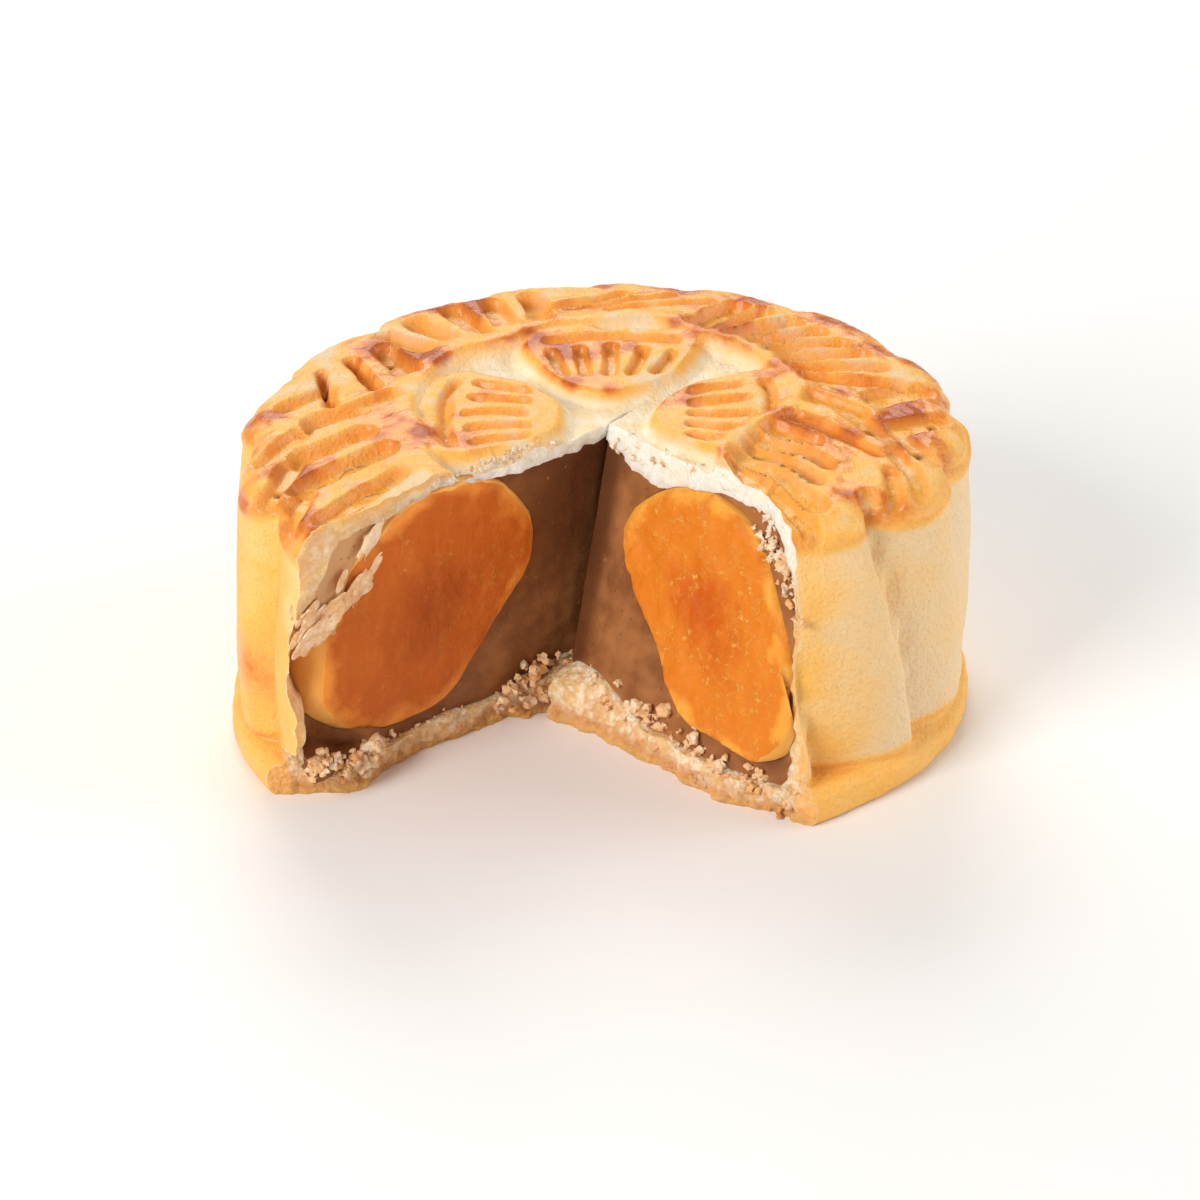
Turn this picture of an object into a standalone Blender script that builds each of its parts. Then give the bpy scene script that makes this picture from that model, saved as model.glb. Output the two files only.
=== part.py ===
"""A mooncake with a wedge cut out of it.

A moulded pastry crust holds lotus paste, and the two cut faces each lay open half of a
salted egg yolk. The wall is pressed into barrel-shaped lobes above a thin foot, and the top
carries a border of slotted fans round a ring of four petals. All lengths are in metres, +Z is
up, the wedge opens towards -Y, and the origin is the middle of the cake's underside.
"""
import math

import bmesh
import bpy
import numpy as np
from mathutils import Matrix, Vector

# Outline of the foot, seen from above.
HALF_WIDTH = 0.0403        # from the mould's axis to the left and right
HALF_DEPTH = 0.0373        # from the mould's axis to the back
AXIS = (0.00012, -0.0054)  # the mould's axis in plan, in front of the middle of the cut cake
PINCH = 0.0046             # how far the right front has been pressed in
PINCH_BEARING = -55.0      # degrees from +X, as all bearings here
PINCH_SPREAD = 24.0        # degrees

# Heights above the underside.
HEIGHT = 0.035             # to the crest of the ring and the petals
RIM_HEIGHT = 0.034         # to the outer ends of the border's slots
FOOT_HEIGHT = 0.0032
SHOULDER_HEIGHT = 0.0298

# The wall.
FOOT_OUT = 0.0008          # the foot stands proud of the lobes
LOBES = 17
LOBE_BEARING = -32.5       # degrees, the bearing of one crease
LOBE_DEPTH = 0.0020
LOBE_SHARPNESS = 2.5       # 2 is a parabola across each lobe, more is flatter with a sharper crease
BULGE = 0.0004             # the wall swells a little at mid height
SLANT = 0.0006             # the whole cake slants to the right by this much at the top
CRUST_WALL = 0.0043        # foot's outline to the filling
CRUST_TOP = 0.0037
CRUST_FLOOR = 0.0032

# The pressed top.
PATTERN_SHIFT = (0.0005, 0.0030)  # the ring's middle from the mould's axis
FANS = 12
FAN_BEARING = 10.0         # degrees
STEPS_IN_FAN = 5           # four slots and the notch between two fans
SLOT_DEPTH = 0.0013
NOTCH_DEPTH = 0.0009
GROUND_DEPTH = 0.0018      # the plain ground inside the ring
RING_OUTER = 0.0228
RING_INNER = 0.0200
PETALS = 4
PETAL_BEARING = 40.0       # degrees
PETAL_SHARE = 0.76         # of the turn that the petals take up
PETAL_INNER = 0.0050
PETAL_OUTER = 0.0187
PETAL_SLOTS = 3
PETAL_SLOT_DEPTH = 0.0008
BOSS_RADIUS = 0.0032

# The wedge: each cut face starts at its own point by the axis, given from the axis, and runs
# out on a bearing.
LEFT_START = (-0.0022, 0.0005)
LEFT_BEARING = -146.0      # degrees
LEFT_LEAN = (-0.0030, 0.0)        # offset into the gap, at the underside and at the rim's height
RIGHT_START = (-0.0012, -0.0015)
RIGHT_BEARING = -50.0      # degrees
RIGHT_LEAN = (0.0025, -0.0055)
LEAN_RUN = 0.010           # distance from the axis over which a face takes up its lean
UPRIGHT = (0.020, 0.034)   # distances between which it stands up straight again
LEFT_RIM = 0.0             # offset of the upright end of each face at the rim
RIGHT_RIM = -0.0010
CRACK = (0.0060, 0.0055)   # near the top the cut runs on past the axis as a narrow crack
CUT_REACH = 0.060          # the cutter's length, well past the foot

# The corner of the left half has broken away below the shoulder. Both are from the axis.
BREAK_X = -0.0245          # everything to the left of this,
BREAK_Y = -0.0150          # in front of this
BREAK_TOP = 0.0240         # and below this is gone

# Yolks: the middle of each cut face, along the face and up, with its half axes.
YOLK_LEFT = {"along": 0.0183, "up": 0.0181, "tilt": 122.0, "half": (0.0150, 0.0112, 0.0100)}
YOLK_RIGHT = {"along": 0.0172, "up": 0.0173, "tilt": -40.0, "half": (0.0158, 0.0108, 0.0100)}
YOLK_DEPTH = 0.0010        # the widest section lies this far behind the cut

GAP = 0.0003               # clearance between neighbouring pieces
WALL_STEPS = 180           # points round the crust: fifteen for each fan
FILL_STEPS = 68            # points round the filling: four for each lobe

CRUST_COLOUR = (0.78, 0.50, 0.24)
FILLING_COLOUR = (0.26, 0.12, 0.045)
YOLK_LEFT_COLOUR = (0.62, 0.19, 0.03)
YOLK_RIGHT_COLOUR = (0.80, 0.30, 0.035)


def bearings(steps):
    """Evenly spaced bearings round the axis, in radians."""
    return np.arange(steps) * 2 * np.pi / steps


def outline_radius(bearing):
    """Radius of the foot: an ellipse, pressed in at the right front."""
    ellipse = 1 / np.hypot(np.cos(bearing) / HALF_WIDTH, np.sin(bearing) / HALF_DEPTH)
    turn = bearing - math.radians(PINCH_BEARING)
    away = np.degrees(np.arctan2(np.sin(turn), np.cos(turn)))
    return ellipse - PINCH * np.exp(-0.5 * (away / PINCH_SPREAD) ** 2)


def place_in_repeat(bearing, first, count):
    """Position from 0 to 1 within one of count repeats, the first of which starts at first."""
    return np.mod((bearing - math.radians(first)) * count / (2 * np.pi), 1.0)


def lobe_drop(bearing):
    """How far the wall falls back from the crests of its lobes."""
    across = np.abs(2 * place_in_repeat(bearing, LOBE_BEARING, LOBES) - 1)
    return LOBE_DEPTH * across ** LOBE_SHARPNESS


def border_relief(bearing):
    """Depth of the radial slots and of the notches between fans, as two arrays."""
    place = place_in_repeat(bearing, FAN_BEARING, FANS)
    wave = np.clip(np.cos(2 * np.pi * STEPS_IN_FAN * place), 0, 1)
    half_step = 0.5 / STEPS_IN_FAN
    notch = (place < half_step) | (place > 1 - half_step)
    return np.where(notch, 0, SLOT_DEPTH * wave), np.where(notch, NOTCH_DEPTH * wave, 0)


def petal_drop(bearing):
    """Depth below the crest of the petals' tops, with their slots; the ground lies between."""
    place = place_in_repeat(bearing, PETAL_BEARING, PETALS)
    slots = PETAL_SLOT_DEPTH * np.clip(np.cos(2 * np.pi * (PETAL_SLOTS + 1) * place), 0, 1)
    return np.where(np.abs(place - 0.5) < PETAL_SHARE / 2, slots, GROUND_DEPTH)


def crown(radius):
    """Height of the top before its relief: highest within the ring, lower towards the rim."""
    share = np.clip((radius - RING_OUTER) / (HALF_DEPTH - RING_OUTER), 0, 1)
    return HEIGHT - (HEIGHT - RIM_HEIGHT) * share ** 0.7


def crust_rings():
    """Rings of the whole cake from its underside up the wall and in to the boss."""
    turn = bearings(WALL_STEPS)
    foot = outline_radius(turn)
    crest = foot - FOOT_OUT
    lobed = crest - lobe_drop(turn)
    slots, notches = border_relief(turn)
    petals = petal_drop(turn)
    level = np.ones_like(turn)
    shoulder = RIM_HEIGHT - SHOULDER_HEIGHT
    slot_out = foot - 0.0060
    slot_middle = 0.55 * slot_out + 0.45 * RING_OUTER
    slot_in = (RING_OUTER + 0.0016) * level
    rings = [
        (foot - 0.0007, 0 * level),
        (foot, 0.22 * FOOT_HEIGHT * level),
        (foot, 0.80 * FOOT_HEIGHT * level),
        (lobed - 0.0003, (FOOT_HEIGHT + 0.0008) * level),
        (lobed + BULGE, 0.0130 * level),
        (lobed, SHOULDER_HEIGHT * level),
        (crest - 0.0010 - 0.5 * lobe_drop(turn), (RIM_HEIGHT - 0.42 * shoulder) * level - notches),
        (crest - 0.0028, (RIM_HEIGHT - 0.12 * shoulder) * level - notches),
        (slot_out, crown(slot_out) - notches),
        (slot_out - 0.0010, crown(slot_out - 0.0010) - notches - slots),
        (slot_middle, crown(slot_middle) - notches - slots),
        (slot_in, crown(slot_in) - notches - slots),
        (RING_OUTER * level, HEIGHT * level),
        ((RING_INNER + 0.0004) * level, HEIGHT * level),
        ((RING_INNER - 0.0006) * level, (HEIGHT - GROUND_DEPTH) * level),
        ((PETAL_OUTER + 0.0006) * level, (HEIGHT - GROUND_DEPTH) * level),
        (PETAL_OUTER * level, HEIGHT - petals),
        (PETAL_INNER * level, HEIGHT - petals),
        ((PETAL_INNER - 0.0006) * level, (HEIGHT - GROUND_DEPTH) * level),
        (BOSS_RADIUS * level, (HEIGHT - 0.3 * GROUND_DEPTH) * level),
    ]
    return [ring_points(turn, radius, height, shifted=True) for radius, height in rings]


def filling_rings(clearance):
    """Rings of the space inside the crust, drawn in by a clearance on every side."""
    turn = bearings(FILL_STEPS)
    wall = outline_radius(turn) - CRUST_WALL - clearance
    floor = CRUST_FLOOR + clearance
    ceiling = HEIGHT - CRUST_TOP - clearance
    rings = [
        (wall - 0.0016, floor),
        (wall - 0.0004, floor + 0.0012),
        (wall, 0.0130),
        (wall - 0.0006, ceiling - 0.0045),
        (wall - 0.0022, ceiling - 0.0015),
        (wall - 0.0055, ceiling),
    ]
    return [ring_points(turn, radius, np.full_like(turn, height)) for radius, height in rings]


def ring_points(turn, radius, height, shifted=False):
    """Points of one ring round the mould's axis, slanted with the cake.

    A shifted ring lies round the middle of the pattern if it is within the border, and moves
    back to the axis as its radius grows to the rim's.
    """
    inward = np.clip((HALF_DEPTH - radius) / (HALF_DEPTH - RING_OUTER), 0, 1)
    inward = inward * shifted * (height > SHOULDER_HEIGHT)
    across = AXIS[0] + radius * np.cos(turn) + SLANT * height / HEIGHT + PATTERN_SHIFT[0] * inward
    deep = AXIS[1] + radius * np.sin(turn) + PATTERN_SHIFT[1] * inward
    return np.column_stack((across, deep, height))


def heading(bearing_degrees, gap_side):
    """Unit vectors along a cut face and from it into the gap, on the given side."""
    angle = math.radians(bearing_degrees)
    along = Vector((math.cos(angle), math.sin(angle), 0))
    return along, Vector((-along.y, along.x, 0)) * gap_side


def ramp(share):
    """Smooth rise from 0 to 1, flat outside that range."""
    share = min(max(share, 0.0), 1.0)
    return share * share * (3 - 2 * share)


class CutFace:
    """One face of the wedge: a ruled surface that leans as it rises."""

    def __init__(self, start, bearing_degrees, lean, rim, gap_side):
        self.start = Vector((*AXIS, 0)) + Vector((*start, 0))
        self.along, self.into_gap = heading(bearing_degrees, gap_side)
        self.lean = lean
        self.rim = rim

    def offset(self, distance, height):
        """Offset into the gap at a distance along the face and a height."""
        share = height / RIM_HEIGHT
        leaning = self.lean[0] * (1 - share) + self.lean[1] * share
        leaning *= min(distance / LEAN_RUN, 1.0)
        upright = ramp((distance - UPRIGHT[0]) / (UPRIGHT[1] - UPRIGHT[0]))
        return leaning * (1 - upright) + self.rim * upright

    def point(self, distance, height):
        """Point of the face at a distance along it and a height."""
        plan = self.start + self.along * distance
        plan += self.into_gap * self.offset(distance, height)
        return plan + Vector((0, 0, height))

    def axes(self):
        """Matrix whose columns are along the face, up the face and out of it into the gap."""
        rise = self.into_gap * (self.lean[1] - self.lean[0]) / RIM_HEIGHT
        up = (Vector((0, 0, 1)) + rise).normalized()
        out = (self.into_gap - up * self.into_gap.dot(up)).normalized()
        return Matrix((self.along, up, out)).transposed()


LEFT_FACE = CutFace(LEFT_START, LEFT_BEARING, LEFT_LEAN, LEFT_RIM, 1)
RIGHT_FACE = CutFace(RIGHT_START, RIGHT_BEARING, RIGHT_LEAN, RIGHT_RIM, -1)


def wedge_rings():
    """Rings of the cutter: out along the right face, back along the left, ending in the crack."""
    stations = (0.0012, 0.004, 0.007, 0.010, 0.016, 0.022, 0.026, 0.030, 0.034, CUT_REACH)
    below, above = -0.004, HEIGHT + 0.004
    levels = [below] + [share * RIM_HEIGHT for share in (0, 0.25, 0.5, 0.75, 0.92)] + [above]
    rings = []
    for height in levels:
        open_share = max(height / RIM_HEIGHT, 0) ** 4
        middle = (LEFT_FACE.start + RIGHT_FACE.start) / 2
        tip = middle + Vector((CRACK[0], CRACK[1], 0)) * open_share + Vector((0, 0, height))
        left = [LEFT_FACE.point(distance, height) for distance in stations]
        right = [RIGHT_FACE.point(distance, height) for distance in stations]
        rings.append([tip] + left + right[::-1])
    return rings


def link(obj, collection):
    """Put an object in one collection."""
    collection.objects.link(obj)
    return obj


def loft(name, rings, collection):
    """Closed solid through rings of equal length, with its two ends capped."""
    mesh = bpy.data.meshes.new(name)
    bm = bmesh.new()
    loops = [[bm.verts.new(point) for point in ring] for ring in rings]
    for low, high in zip(loops, loops[1:]):
        for first in range(len(low)):
            second = (first + 1) % len(low)
            bm.faces.new((low[first], low[second], high[second], high[first]))
    bm.faces.new(loops[0][::-1])
    bm.faces.new(loops[-1])
    bmesh.ops.triangulate(bm, faces=[face for face in bm.faces if len(face.verts) > 3])
    bmesh.ops.recalc_face_normals(bm, faces=bm.faces)
    bm.to_mesh(mesh)
    bm.free()
    return link(bpy.data.objects.new(name, mesh), collection)


def block(name, low, high, collection):
    """Box between two corners."""
    mesh = bpy.data.meshes.new(name)
    bm = bmesh.new()
    bmesh.ops.create_cube(bm, size=1.0)
    low, high = Vector(low), Vector(high)
    bmesh.ops.scale(bm, verts=bm.verts, vec=high - low)
    bmesh.ops.translate(bm, verts=bm.verts, vec=(high + low) / 2)
    bm.to_mesh(mesh)
    bm.free()
    return link(bpy.data.objects.new(name, mesh), collection)


def ovoid(name, face, size, clearance, collection):
    """Egg-shaped solid centred just behind a cut face, its long axis tilted in that face."""
    mesh = bpy.data.meshes.new(name)
    bm = bmesh.new()
    bmesh.ops.create_uvsphere(bm, u_segments=26, v_segments=15, radius=1.0)
    bmesh.ops.scale(bm, verts=bm.verts, vec=[half + clearance for half in size["half"]])
    bm.to_mesh(mesh)
    bm.free()
    obj = link(bpy.data.objects.new(name, mesh), collection)
    axes = face.axes()
    centre = face.point(size["along"], size["up"]) - axes.col[2] * YOLK_DEPTH
    turn = axes @ Matrix.Rotation(math.radians(size["tilt"]), 3, "Z")
    obj.matrix_world = Matrix.Translation(centre) @ turn.to_4x4()
    return obj


def cut(obj, cutters):
    """Take each cutter out of an object."""
    for cutter in cutters:
        boolean = obj.modifiers.new("cut by " + cutter.name, "BOOLEAN")
        boolean.operation = "DIFFERENCE"
        boolean.solver = "EXACT"
        boolean.object = cutter


def finish(obj, colour, roughness, crease_degrees):
    """Give a piece its material and smooth shading with sharp edges past an angle."""
    material = bpy.data.materials.new(obj.name)
    material.use_nodes = True
    shader = material.node_tree.nodes["Principled BSDF"]
    shader.inputs["Base Color"].default_value = (*colour, 1)
    shader.inputs["Roughness"].default_value = roughness
    shader.inputs["Metallic"].default_value = 0.0
    obj.data.materials.append(material)
    obj.data.shade_smooth()
    obj.data.set_sharp_from_angle(angle=math.radians(crease_degrees))


def collection_named(name):
    """New collection in the scene."""
    collection = bpy.data.collections.new(name)
    bpy.context.scene.collection.children.link(collection)
    return collection


def build():
    """Model the cake and its cutters."""
    for obj in list(bpy.data.objects):
        bpy.data.objects.remove(obj, do_unlink=True)
    parts = collection_named("mooncake")
    cutters = collection_named("cutters")

    wedge = loft("wedge", wedge_rings(), cutters)
    cavity = loft("cavity", filling_rings(0.0), cutters)
    broken = block("broken_corner", (-CUT_REACH, -CUT_REACH, -0.002),
                   (AXIS[0] + BREAK_X, AXIS[1] + BREAK_Y, BREAK_TOP), cutters)
    pockets = [ovoid("pocket_left", LEFT_FACE, YOLK_LEFT, GAP, cutters),
               ovoid("pocket_right", RIGHT_FACE, YOLK_RIGHT, GAP, cutters)]

    crust = loft("crust", crust_rings(), parts)
    cut(crust, [cavity, wedge, broken] + pockets)
    filling = loft("filling", filling_rings(GAP), parts)
    cut(filling, [wedge, broken] + pockets)
    yolk_left = ovoid("yolk_left", LEFT_FACE, YOLK_LEFT, 0.0, parts)
    cut(yolk_left, [wedge])
    yolk_right = ovoid("yolk_right", RIGHT_FACE, YOLK_RIGHT, 0.0, parts)
    cut(yolk_right, [wedge])

    finish(crust, CRUST_COLOUR, 0.55, 40)
    finish(filling, FILLING_COLOUR, 0.45, 30)
    finish(yolk_left, YOLK_LEFT_COLOUR, 0.50, 50)
    finish(yolk_right, YOLK_RIGHT_COLOUR, 0.50, 50)
    for cutter in cutters.objects:
        cutter.hide_render = True
        cutter.display_type = "WIRE"


build()
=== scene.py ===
"""Looks of a moulded mooncake with a wedge cut out of it.

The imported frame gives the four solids: crust, filling and two halved yolks. Each is replaced by
a finely modelled piece. Every surface is worked out on a grid of two parameters, the wedge is
taken out with closed cutters whose faces carry the crumb's own roughness, and the finishes are
node materials. Sizes inside the classes are millimetres from the mould's axis on the underside;
meshes are scaled to metres and set on the frame as they are made.
"""
import logging
import math
from collections.abc import Callable
from dataclasses import dataclass, field
from enum import Enum

import bpy
import numpy as np
from mathutils import Matrix, Vector


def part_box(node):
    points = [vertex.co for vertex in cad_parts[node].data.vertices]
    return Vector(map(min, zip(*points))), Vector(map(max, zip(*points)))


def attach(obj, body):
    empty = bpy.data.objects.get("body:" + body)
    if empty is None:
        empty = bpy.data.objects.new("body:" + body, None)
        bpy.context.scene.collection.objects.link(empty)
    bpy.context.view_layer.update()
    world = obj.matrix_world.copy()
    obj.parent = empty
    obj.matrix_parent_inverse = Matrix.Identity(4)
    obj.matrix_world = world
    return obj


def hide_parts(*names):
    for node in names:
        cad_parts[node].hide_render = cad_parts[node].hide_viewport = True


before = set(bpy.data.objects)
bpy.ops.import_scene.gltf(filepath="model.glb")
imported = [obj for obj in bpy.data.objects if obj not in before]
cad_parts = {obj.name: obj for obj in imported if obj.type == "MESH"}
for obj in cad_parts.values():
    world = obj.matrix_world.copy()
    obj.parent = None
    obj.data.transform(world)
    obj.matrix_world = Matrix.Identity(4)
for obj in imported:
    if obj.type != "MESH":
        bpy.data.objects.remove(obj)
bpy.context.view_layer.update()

MM = 0.001
Array = np.ndarray
Colour = tuple[float, float, float]
Pair = tuple[float, float]
Place = tuple[float, float, float]

logging.basicConfig(level=logging.INFO, format="%(message)s")
LOG = logging.getLogger("mooncake")


class Layer(Enum):
    """What a face of a cut piece belongs to; the value is its material slot."""

    SKIN = 0
    CRUMB = 1


# ---------------------------------------------------------------------------------------------
# Numbers and noise
# ---------------------------------------------------------------------------------------------


def smooth(low: float | Array, high: float | Array, value: Array) -> Array:
    """Smooth step: 0 up to low, 1 from high, and t^2 (3 - 2 t) between.

    Args:
        low: Where the step starts; it may lie above high for a falling step.
        high: Where the step ends.
        value: The numbers to map.

    Returns:
        Numbers from 0 to 1.
    """
    share = np.clip((value - low) / (high - low), 0, 1)
    return share * share * (3 - 2 * share)


def bump(value: Array, middle: float | Array, spread: float) -> Array:
    """Bell curve of height 1: exp(-((value - middle) / spread)^2)."""
    return np.exp(-(((value - middle) / spread) ** 2))


def turn_between(bearing: Array, middle_degrees: float) -> Array:
    """Signed angle in degrees from a bearing to each of the others."""
    turn = bearing - math.radians(middle_degrees)
    return np.degrees(np.arctan2(np.sin(turn), np.cos(turn)))


def heading(degrees: float) -> Array:
    """Unit vector in plan on a bearing."""
    return np.array([math.cos(math.radians(degrees)), math.sin(math.radians(degrees))])


class Noise:
    """Repeatable gradient noise through space, worked out on whole arrays.

    Every corner of a lattice has a random slope. A point's value is the sum over its cell's
    eight corners of slope times offset, weighted by t^3 (6 t^2 - 15 t + 10) along each axis.
    The swing brings that sum to about -1 to 1, the stride keeps the octaves' lattices apart, and
    the jitter is how far a grain may lie from the middle of its cell.
    """

    SWING = 1.7
    STRIDE = 7.3
    JITTER = 0.45

    def __init__(self, seed: int) -> None:
        """Draw the lattice's order and slopes.

        Args:
            seed: Seed of the draw.
        """
        draw = np.random.default_rng(seed)
        self.order = np.tile(draw.permutation(256), 3)
        slopes = draw.normal(size=(256, 3))
        self.slopes = slopes / np.linalg.norm(slopes, axis=1, keepdims=True)

    def _key(self, cell: Array) -> Array:
        """Which slope belongs to each lattice corner.

        Args:
            cell: Whole numbers that name the corners, with the last axis x, y, z.

        Returns:
            Indices from 0 to 255.
        """
        first = self.order[cell[..., 0] & 255]
        second = self.order[first + (cell[..., 1] & 255)]
        return self.order[second + (cell[..., 2] & 255)]

    def at(self, points: Array, size: float) -> Array:
        """Noise of about -1 to 1 whose features have the given size.

        Args:
            points: Places in millimetres, with the last axis x, y, z.
            size: Millimetres from one swelling to the next hollow.

        Returns:
            One value for each place.
        """
        place = points / size
        cell = np.floor(place).astype(int)
        local = place - cell
        weight = local**3 * (local * (local * 6 - 15) + 10)
        total = np.zeros(points.shape[:-1])
        for corner in np.ndindex(2, 2, 2):
            offset = np.array(corner)
            share = np.prod(np.where(offset, weight, 1 - weight), axis=-1)
            total += share * np.sum(self.slopes[self._key(cell + offset)] * (local - offset), axis=-1)
        return self.SWING * total

    def octaves(self, points: Array, size: float, count: int, gain: float = 0.5) -> Array:
        """Sum of noises, each half the size of the last and gain times as strong.

        Args:
            points: Places in millimetres.
            size: Size of the largest features.
            count: Number of noises.
            gain: Strength of each noise against the one before.

        Returns:
            One value for each place.
        """
        return sum(self.at(points + self.STRIDE * k, size / 2**k) * gain**k for k in range(count))

    def grains(self, points: Array, size: float) -> Array:
        """Distance to the nearest of a field of scattered points, one in each lattice cell.

        Args:
            points: Places in millimetres.
            size: Millimetres from one scattered point to the next.

        Returns:
            0 at a scattered point, about 1 midway between two.
        """
        place = points / size
        cell = np.floor(place).astype(int)
        nearest = np.full(points.shape[:-1], np.inf)
        for step in np.ndindex(3, 3, 3):
            corner = cell + np.array(step) - 1
            seed = corner + 0.5 + self.JITTER * self.slopes[self._key(corner)]
            nearest = np.minimum(nearest, np.sum((place - seed) ** 2, axis=-1))
        return np.sqrt(nearest)


# ---------------------------------------------------------------------------------------------
# Meshes
# ---------------------------------------------------------------------------------------------


def loop_quads(rings: int, around: int, first: int = 0) -> Array:
    """Quads between closed rings that follow one another in the vertex list.

    Args:
        rings: Number of rings.
        around: Points in each ring.
        first: Index of the first ring's first point.

    Returns:
        Rows of four vertex indices.
    """
    ring, place = np.indices((rings - 1, around))
    here = first + ring * around + place
    beside = first + ring * around + (place + 1) % around
    return np.stack([here, beside, beside + around, here + around], axis=-1).reshape(-1, 4)


def sheet_quads(rows: int, columns: int, first: int = 0) -> Array:
    """Quads of an open grid stored row by row.

    Args:
        rows: Number of rows.
        columns: Points in each row.
        first: Index of the grid's first point.

    Returns:
        Rows of four vertex indices.
    """
    row, column = np.indices((rows - 1, columns - 1))
    here = first + row * columns + column
    return np.stack([here, here + 1, here + columns + 1, here + columns], axis=-1).reshape(-1, 4)


def fan_triangles(ring: Array, hub: int) -> Array:
    """Triangles from a closed ring of vertex indices to one hub vertex."""
    return np.stack([ring, np.roll(ring, -1), np.full(len(ring), hub)], axis=-1)


def halving_triangles(fine: Array, coarse: Array) -> Array:
    """Triangles that join a ring to one with half as many points.

    Args:
        fine: Vertex indices of the full ring.
        coarse: Vertex indices of the ring with half as many.

    Returns:
        Rows of three vertex indices.
    """
    left, middle, right = fine[0::2], fine[1::2], np.roll(fine, -2)[0::2]
    far = np.roll(coarse, -1)
    return np.concatenate([
        np.stack([left, middle, coarse], axis=-1),
        np.stack([middle, far, coarse], axis=-1),
        np.stack([middle, right, far], axis=-1),
    ])


@dataclass
class Shell:
    """A closed surface in millimetres: points, quads, triangles and values at its points."""

    points: Array
    quads: Array
    triangles: Array = field(default_factory=lambda: np.zeros((0, 3), int))
    values: dict[str, Array] = field(default_factory=dict)
    layer: Layer = Layer.SKIN

    def corners(self) -> Array:
        """All faces as triangles."""
        halves = [self.quads[:, [0, 1, 2]], self.quads[:, [0, 2, 3]], self.triangles]
        return np.concatenate(halves).astype(int)

    def volume(self) -> float:
        """Enclosed volume, negative where the faces point inwards."""
        a, b, c = (self.points[self.corners()[:, k]] for k in range(3))
        return float(np.sum(a * np.cross(b, c))) / 6

    def face_outwards(self) -> "Shell":
        """Turn every face over if the surface is inside out.

        Returns:
            The surface itself.
        """
        if self.volume() < 0:
            self.quads = self.quads[:, ::-1]
            self.triangles = self.triangles[:, ::-1]
        return self

    def normals(self) -> Array:
        """Unit normals at the points: the sum of the crossed edges of the faces around each.

        Returns:
            One row for each point.
        """
        faces = self.corners()
        a, b, c = (self.points[faces[:, k]] for k in range(3))
        crossed = np.cross(b - a, c - a)
        total = np.zeros_like(self.points)
        for k in range(3):
            for axis in range(3):
                total[:, axis] += np.bincount(faces[:, k], crossed[:, axis], len(self.points))
        return total / np.maximum(np.linalg.norm(total, axis=1, keepdims=True), 1e-12)

    def raised(self, amount: Array) -> "Shell":
        """Move every point along its normal by its own amount.

        Args:
            amount: Millimetres outwards for each point.

        Returns:
            The surface itself.
        """
        self.face_outwards()
        self.points = self.points + self.normals() * amount[:, None]
        return self

    def piece(self, name: str) -> bpy.types.Object:
        """Make the surface a Blender object whose place on the frame is in its mesh.

        Args:
            name: Name of the object and its mesh.

        Returns:
            The new object, linked to the scene.
        """
        self.face_outwards()
        mesh = bpy.data.meshes.new(name)
        points = (self.points + AXIS_PLACE) * MM
        corners = np.concatenate([self.quads.ravel(), self.triangles.ravel()]).astype(np.int32)
        sizes = np.repeat([4, 3], [len(self.quads), len(self.triangles)])
        starts = np.concatenate([[0], np.cumsum(sizes)[:-1]]).astype(np.int32)
        mesh.vertices.add(len(points))
        mesh.vertices.foreach_set("co", points.astype(np.float32).ravel())
        mesh.loops.add(len(corners))
        mesh.loops.foreach_set("vertex_index", corners)
        mesh.polygons.add(len(sizes))
        mesh.polygons.foreach_set("loop_start", starts)
        mesh.polygons.foreach_set("material_index", np.full(len(sizes), self.layer.value, np.int32))
        mesh.update(calc_edges=True)
        for key, numbers in self.values.items():
            store_values(mesh, key, numbers)
        for _ in Layer:
            mesh.materials.append(None)
        piece = bpy.data.objects.new(name, mesh)
        bpy.context.scene.collection.objects.link(piece)
        return piece


def capped_tube(rings: Array, hubs: Array, layer: Layer = Layer.CRUMB) -> Shell:
    """Closed surface of rings that follow one another, with a hub that closes each end.

    Args:
        rings: Points by ring and place round it.
        hubs: The point before the first ring and the one past the last.
        layer: What its faces belong to.

    Returns:
        The surface, whose last two points are the hubs.
    """
    count, around = rings.shape[:2]
    ring, used = np.arange(around), count * around
    caps = [fan_triangles(ring[::-1], used), fan_triangles(used - around + ring, used + 1)]
    points = np.concatenate([rings.reshape(-1, 3), hubs])
    return Shell(points, loop_quads(count, around), np.concatenate(caps), layer=layer)


def joined(shells: list[Shell]) -> Shell:
    """One surface made of several.

    Args:
        shells: Closed surfaces, which may overlap.

    Returns:
        Their points and faces together, as crumb.
    """
    starts = np.cumsum([0] + [len(shell.points) for shell in shells[:-1]])
    return Shell(
        np.concatenate([shell.face_outwards().points for shell in shells]),
        np.concatenate([shell.quads + start for shell, start in zip(shells, starts)]),
        np.concatenate([shell.triangles + start for shell, start in zip(shells, starts)]),
        layer=Layer.CRUMB,
    )


def cut(piece: bpy.types.Object, cutters: list[Shell]) -> None:
    """Take closed surfaces out of a piece and keep the result as its mesh.

    Args:
        piece: The object to cut; it keeps its name.
        cutters: Closed surfaces. Their faces keep their own layer.
    """
    tools = [cutter.piece(f"cutter_{index}") for index, cutter in enumerate(cutters)]
    for tool in tools:
        step = piece.modifiers.new(tool.name, "BOOLEAN")
        step.operation = "DIFFERENCE"
        step.solver = "MANIFOLD"
        step.object = tool
    graph = bpy.context.evaluated_depsgraph_get()
    mesh = bpy.data.meshes.new_from_object(piece.evaluated_get(graph))
    old = piece.data
    piece.modifiers.clear()
    piece.data = mesh
    mesh.name = piece.name
    bpy.data.meshes.remove(old)
    for tool in tools:
        used = tool.data
        bpy.data.objects.remove(tool)
        bpy.data.meshes.remove(used)


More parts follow.
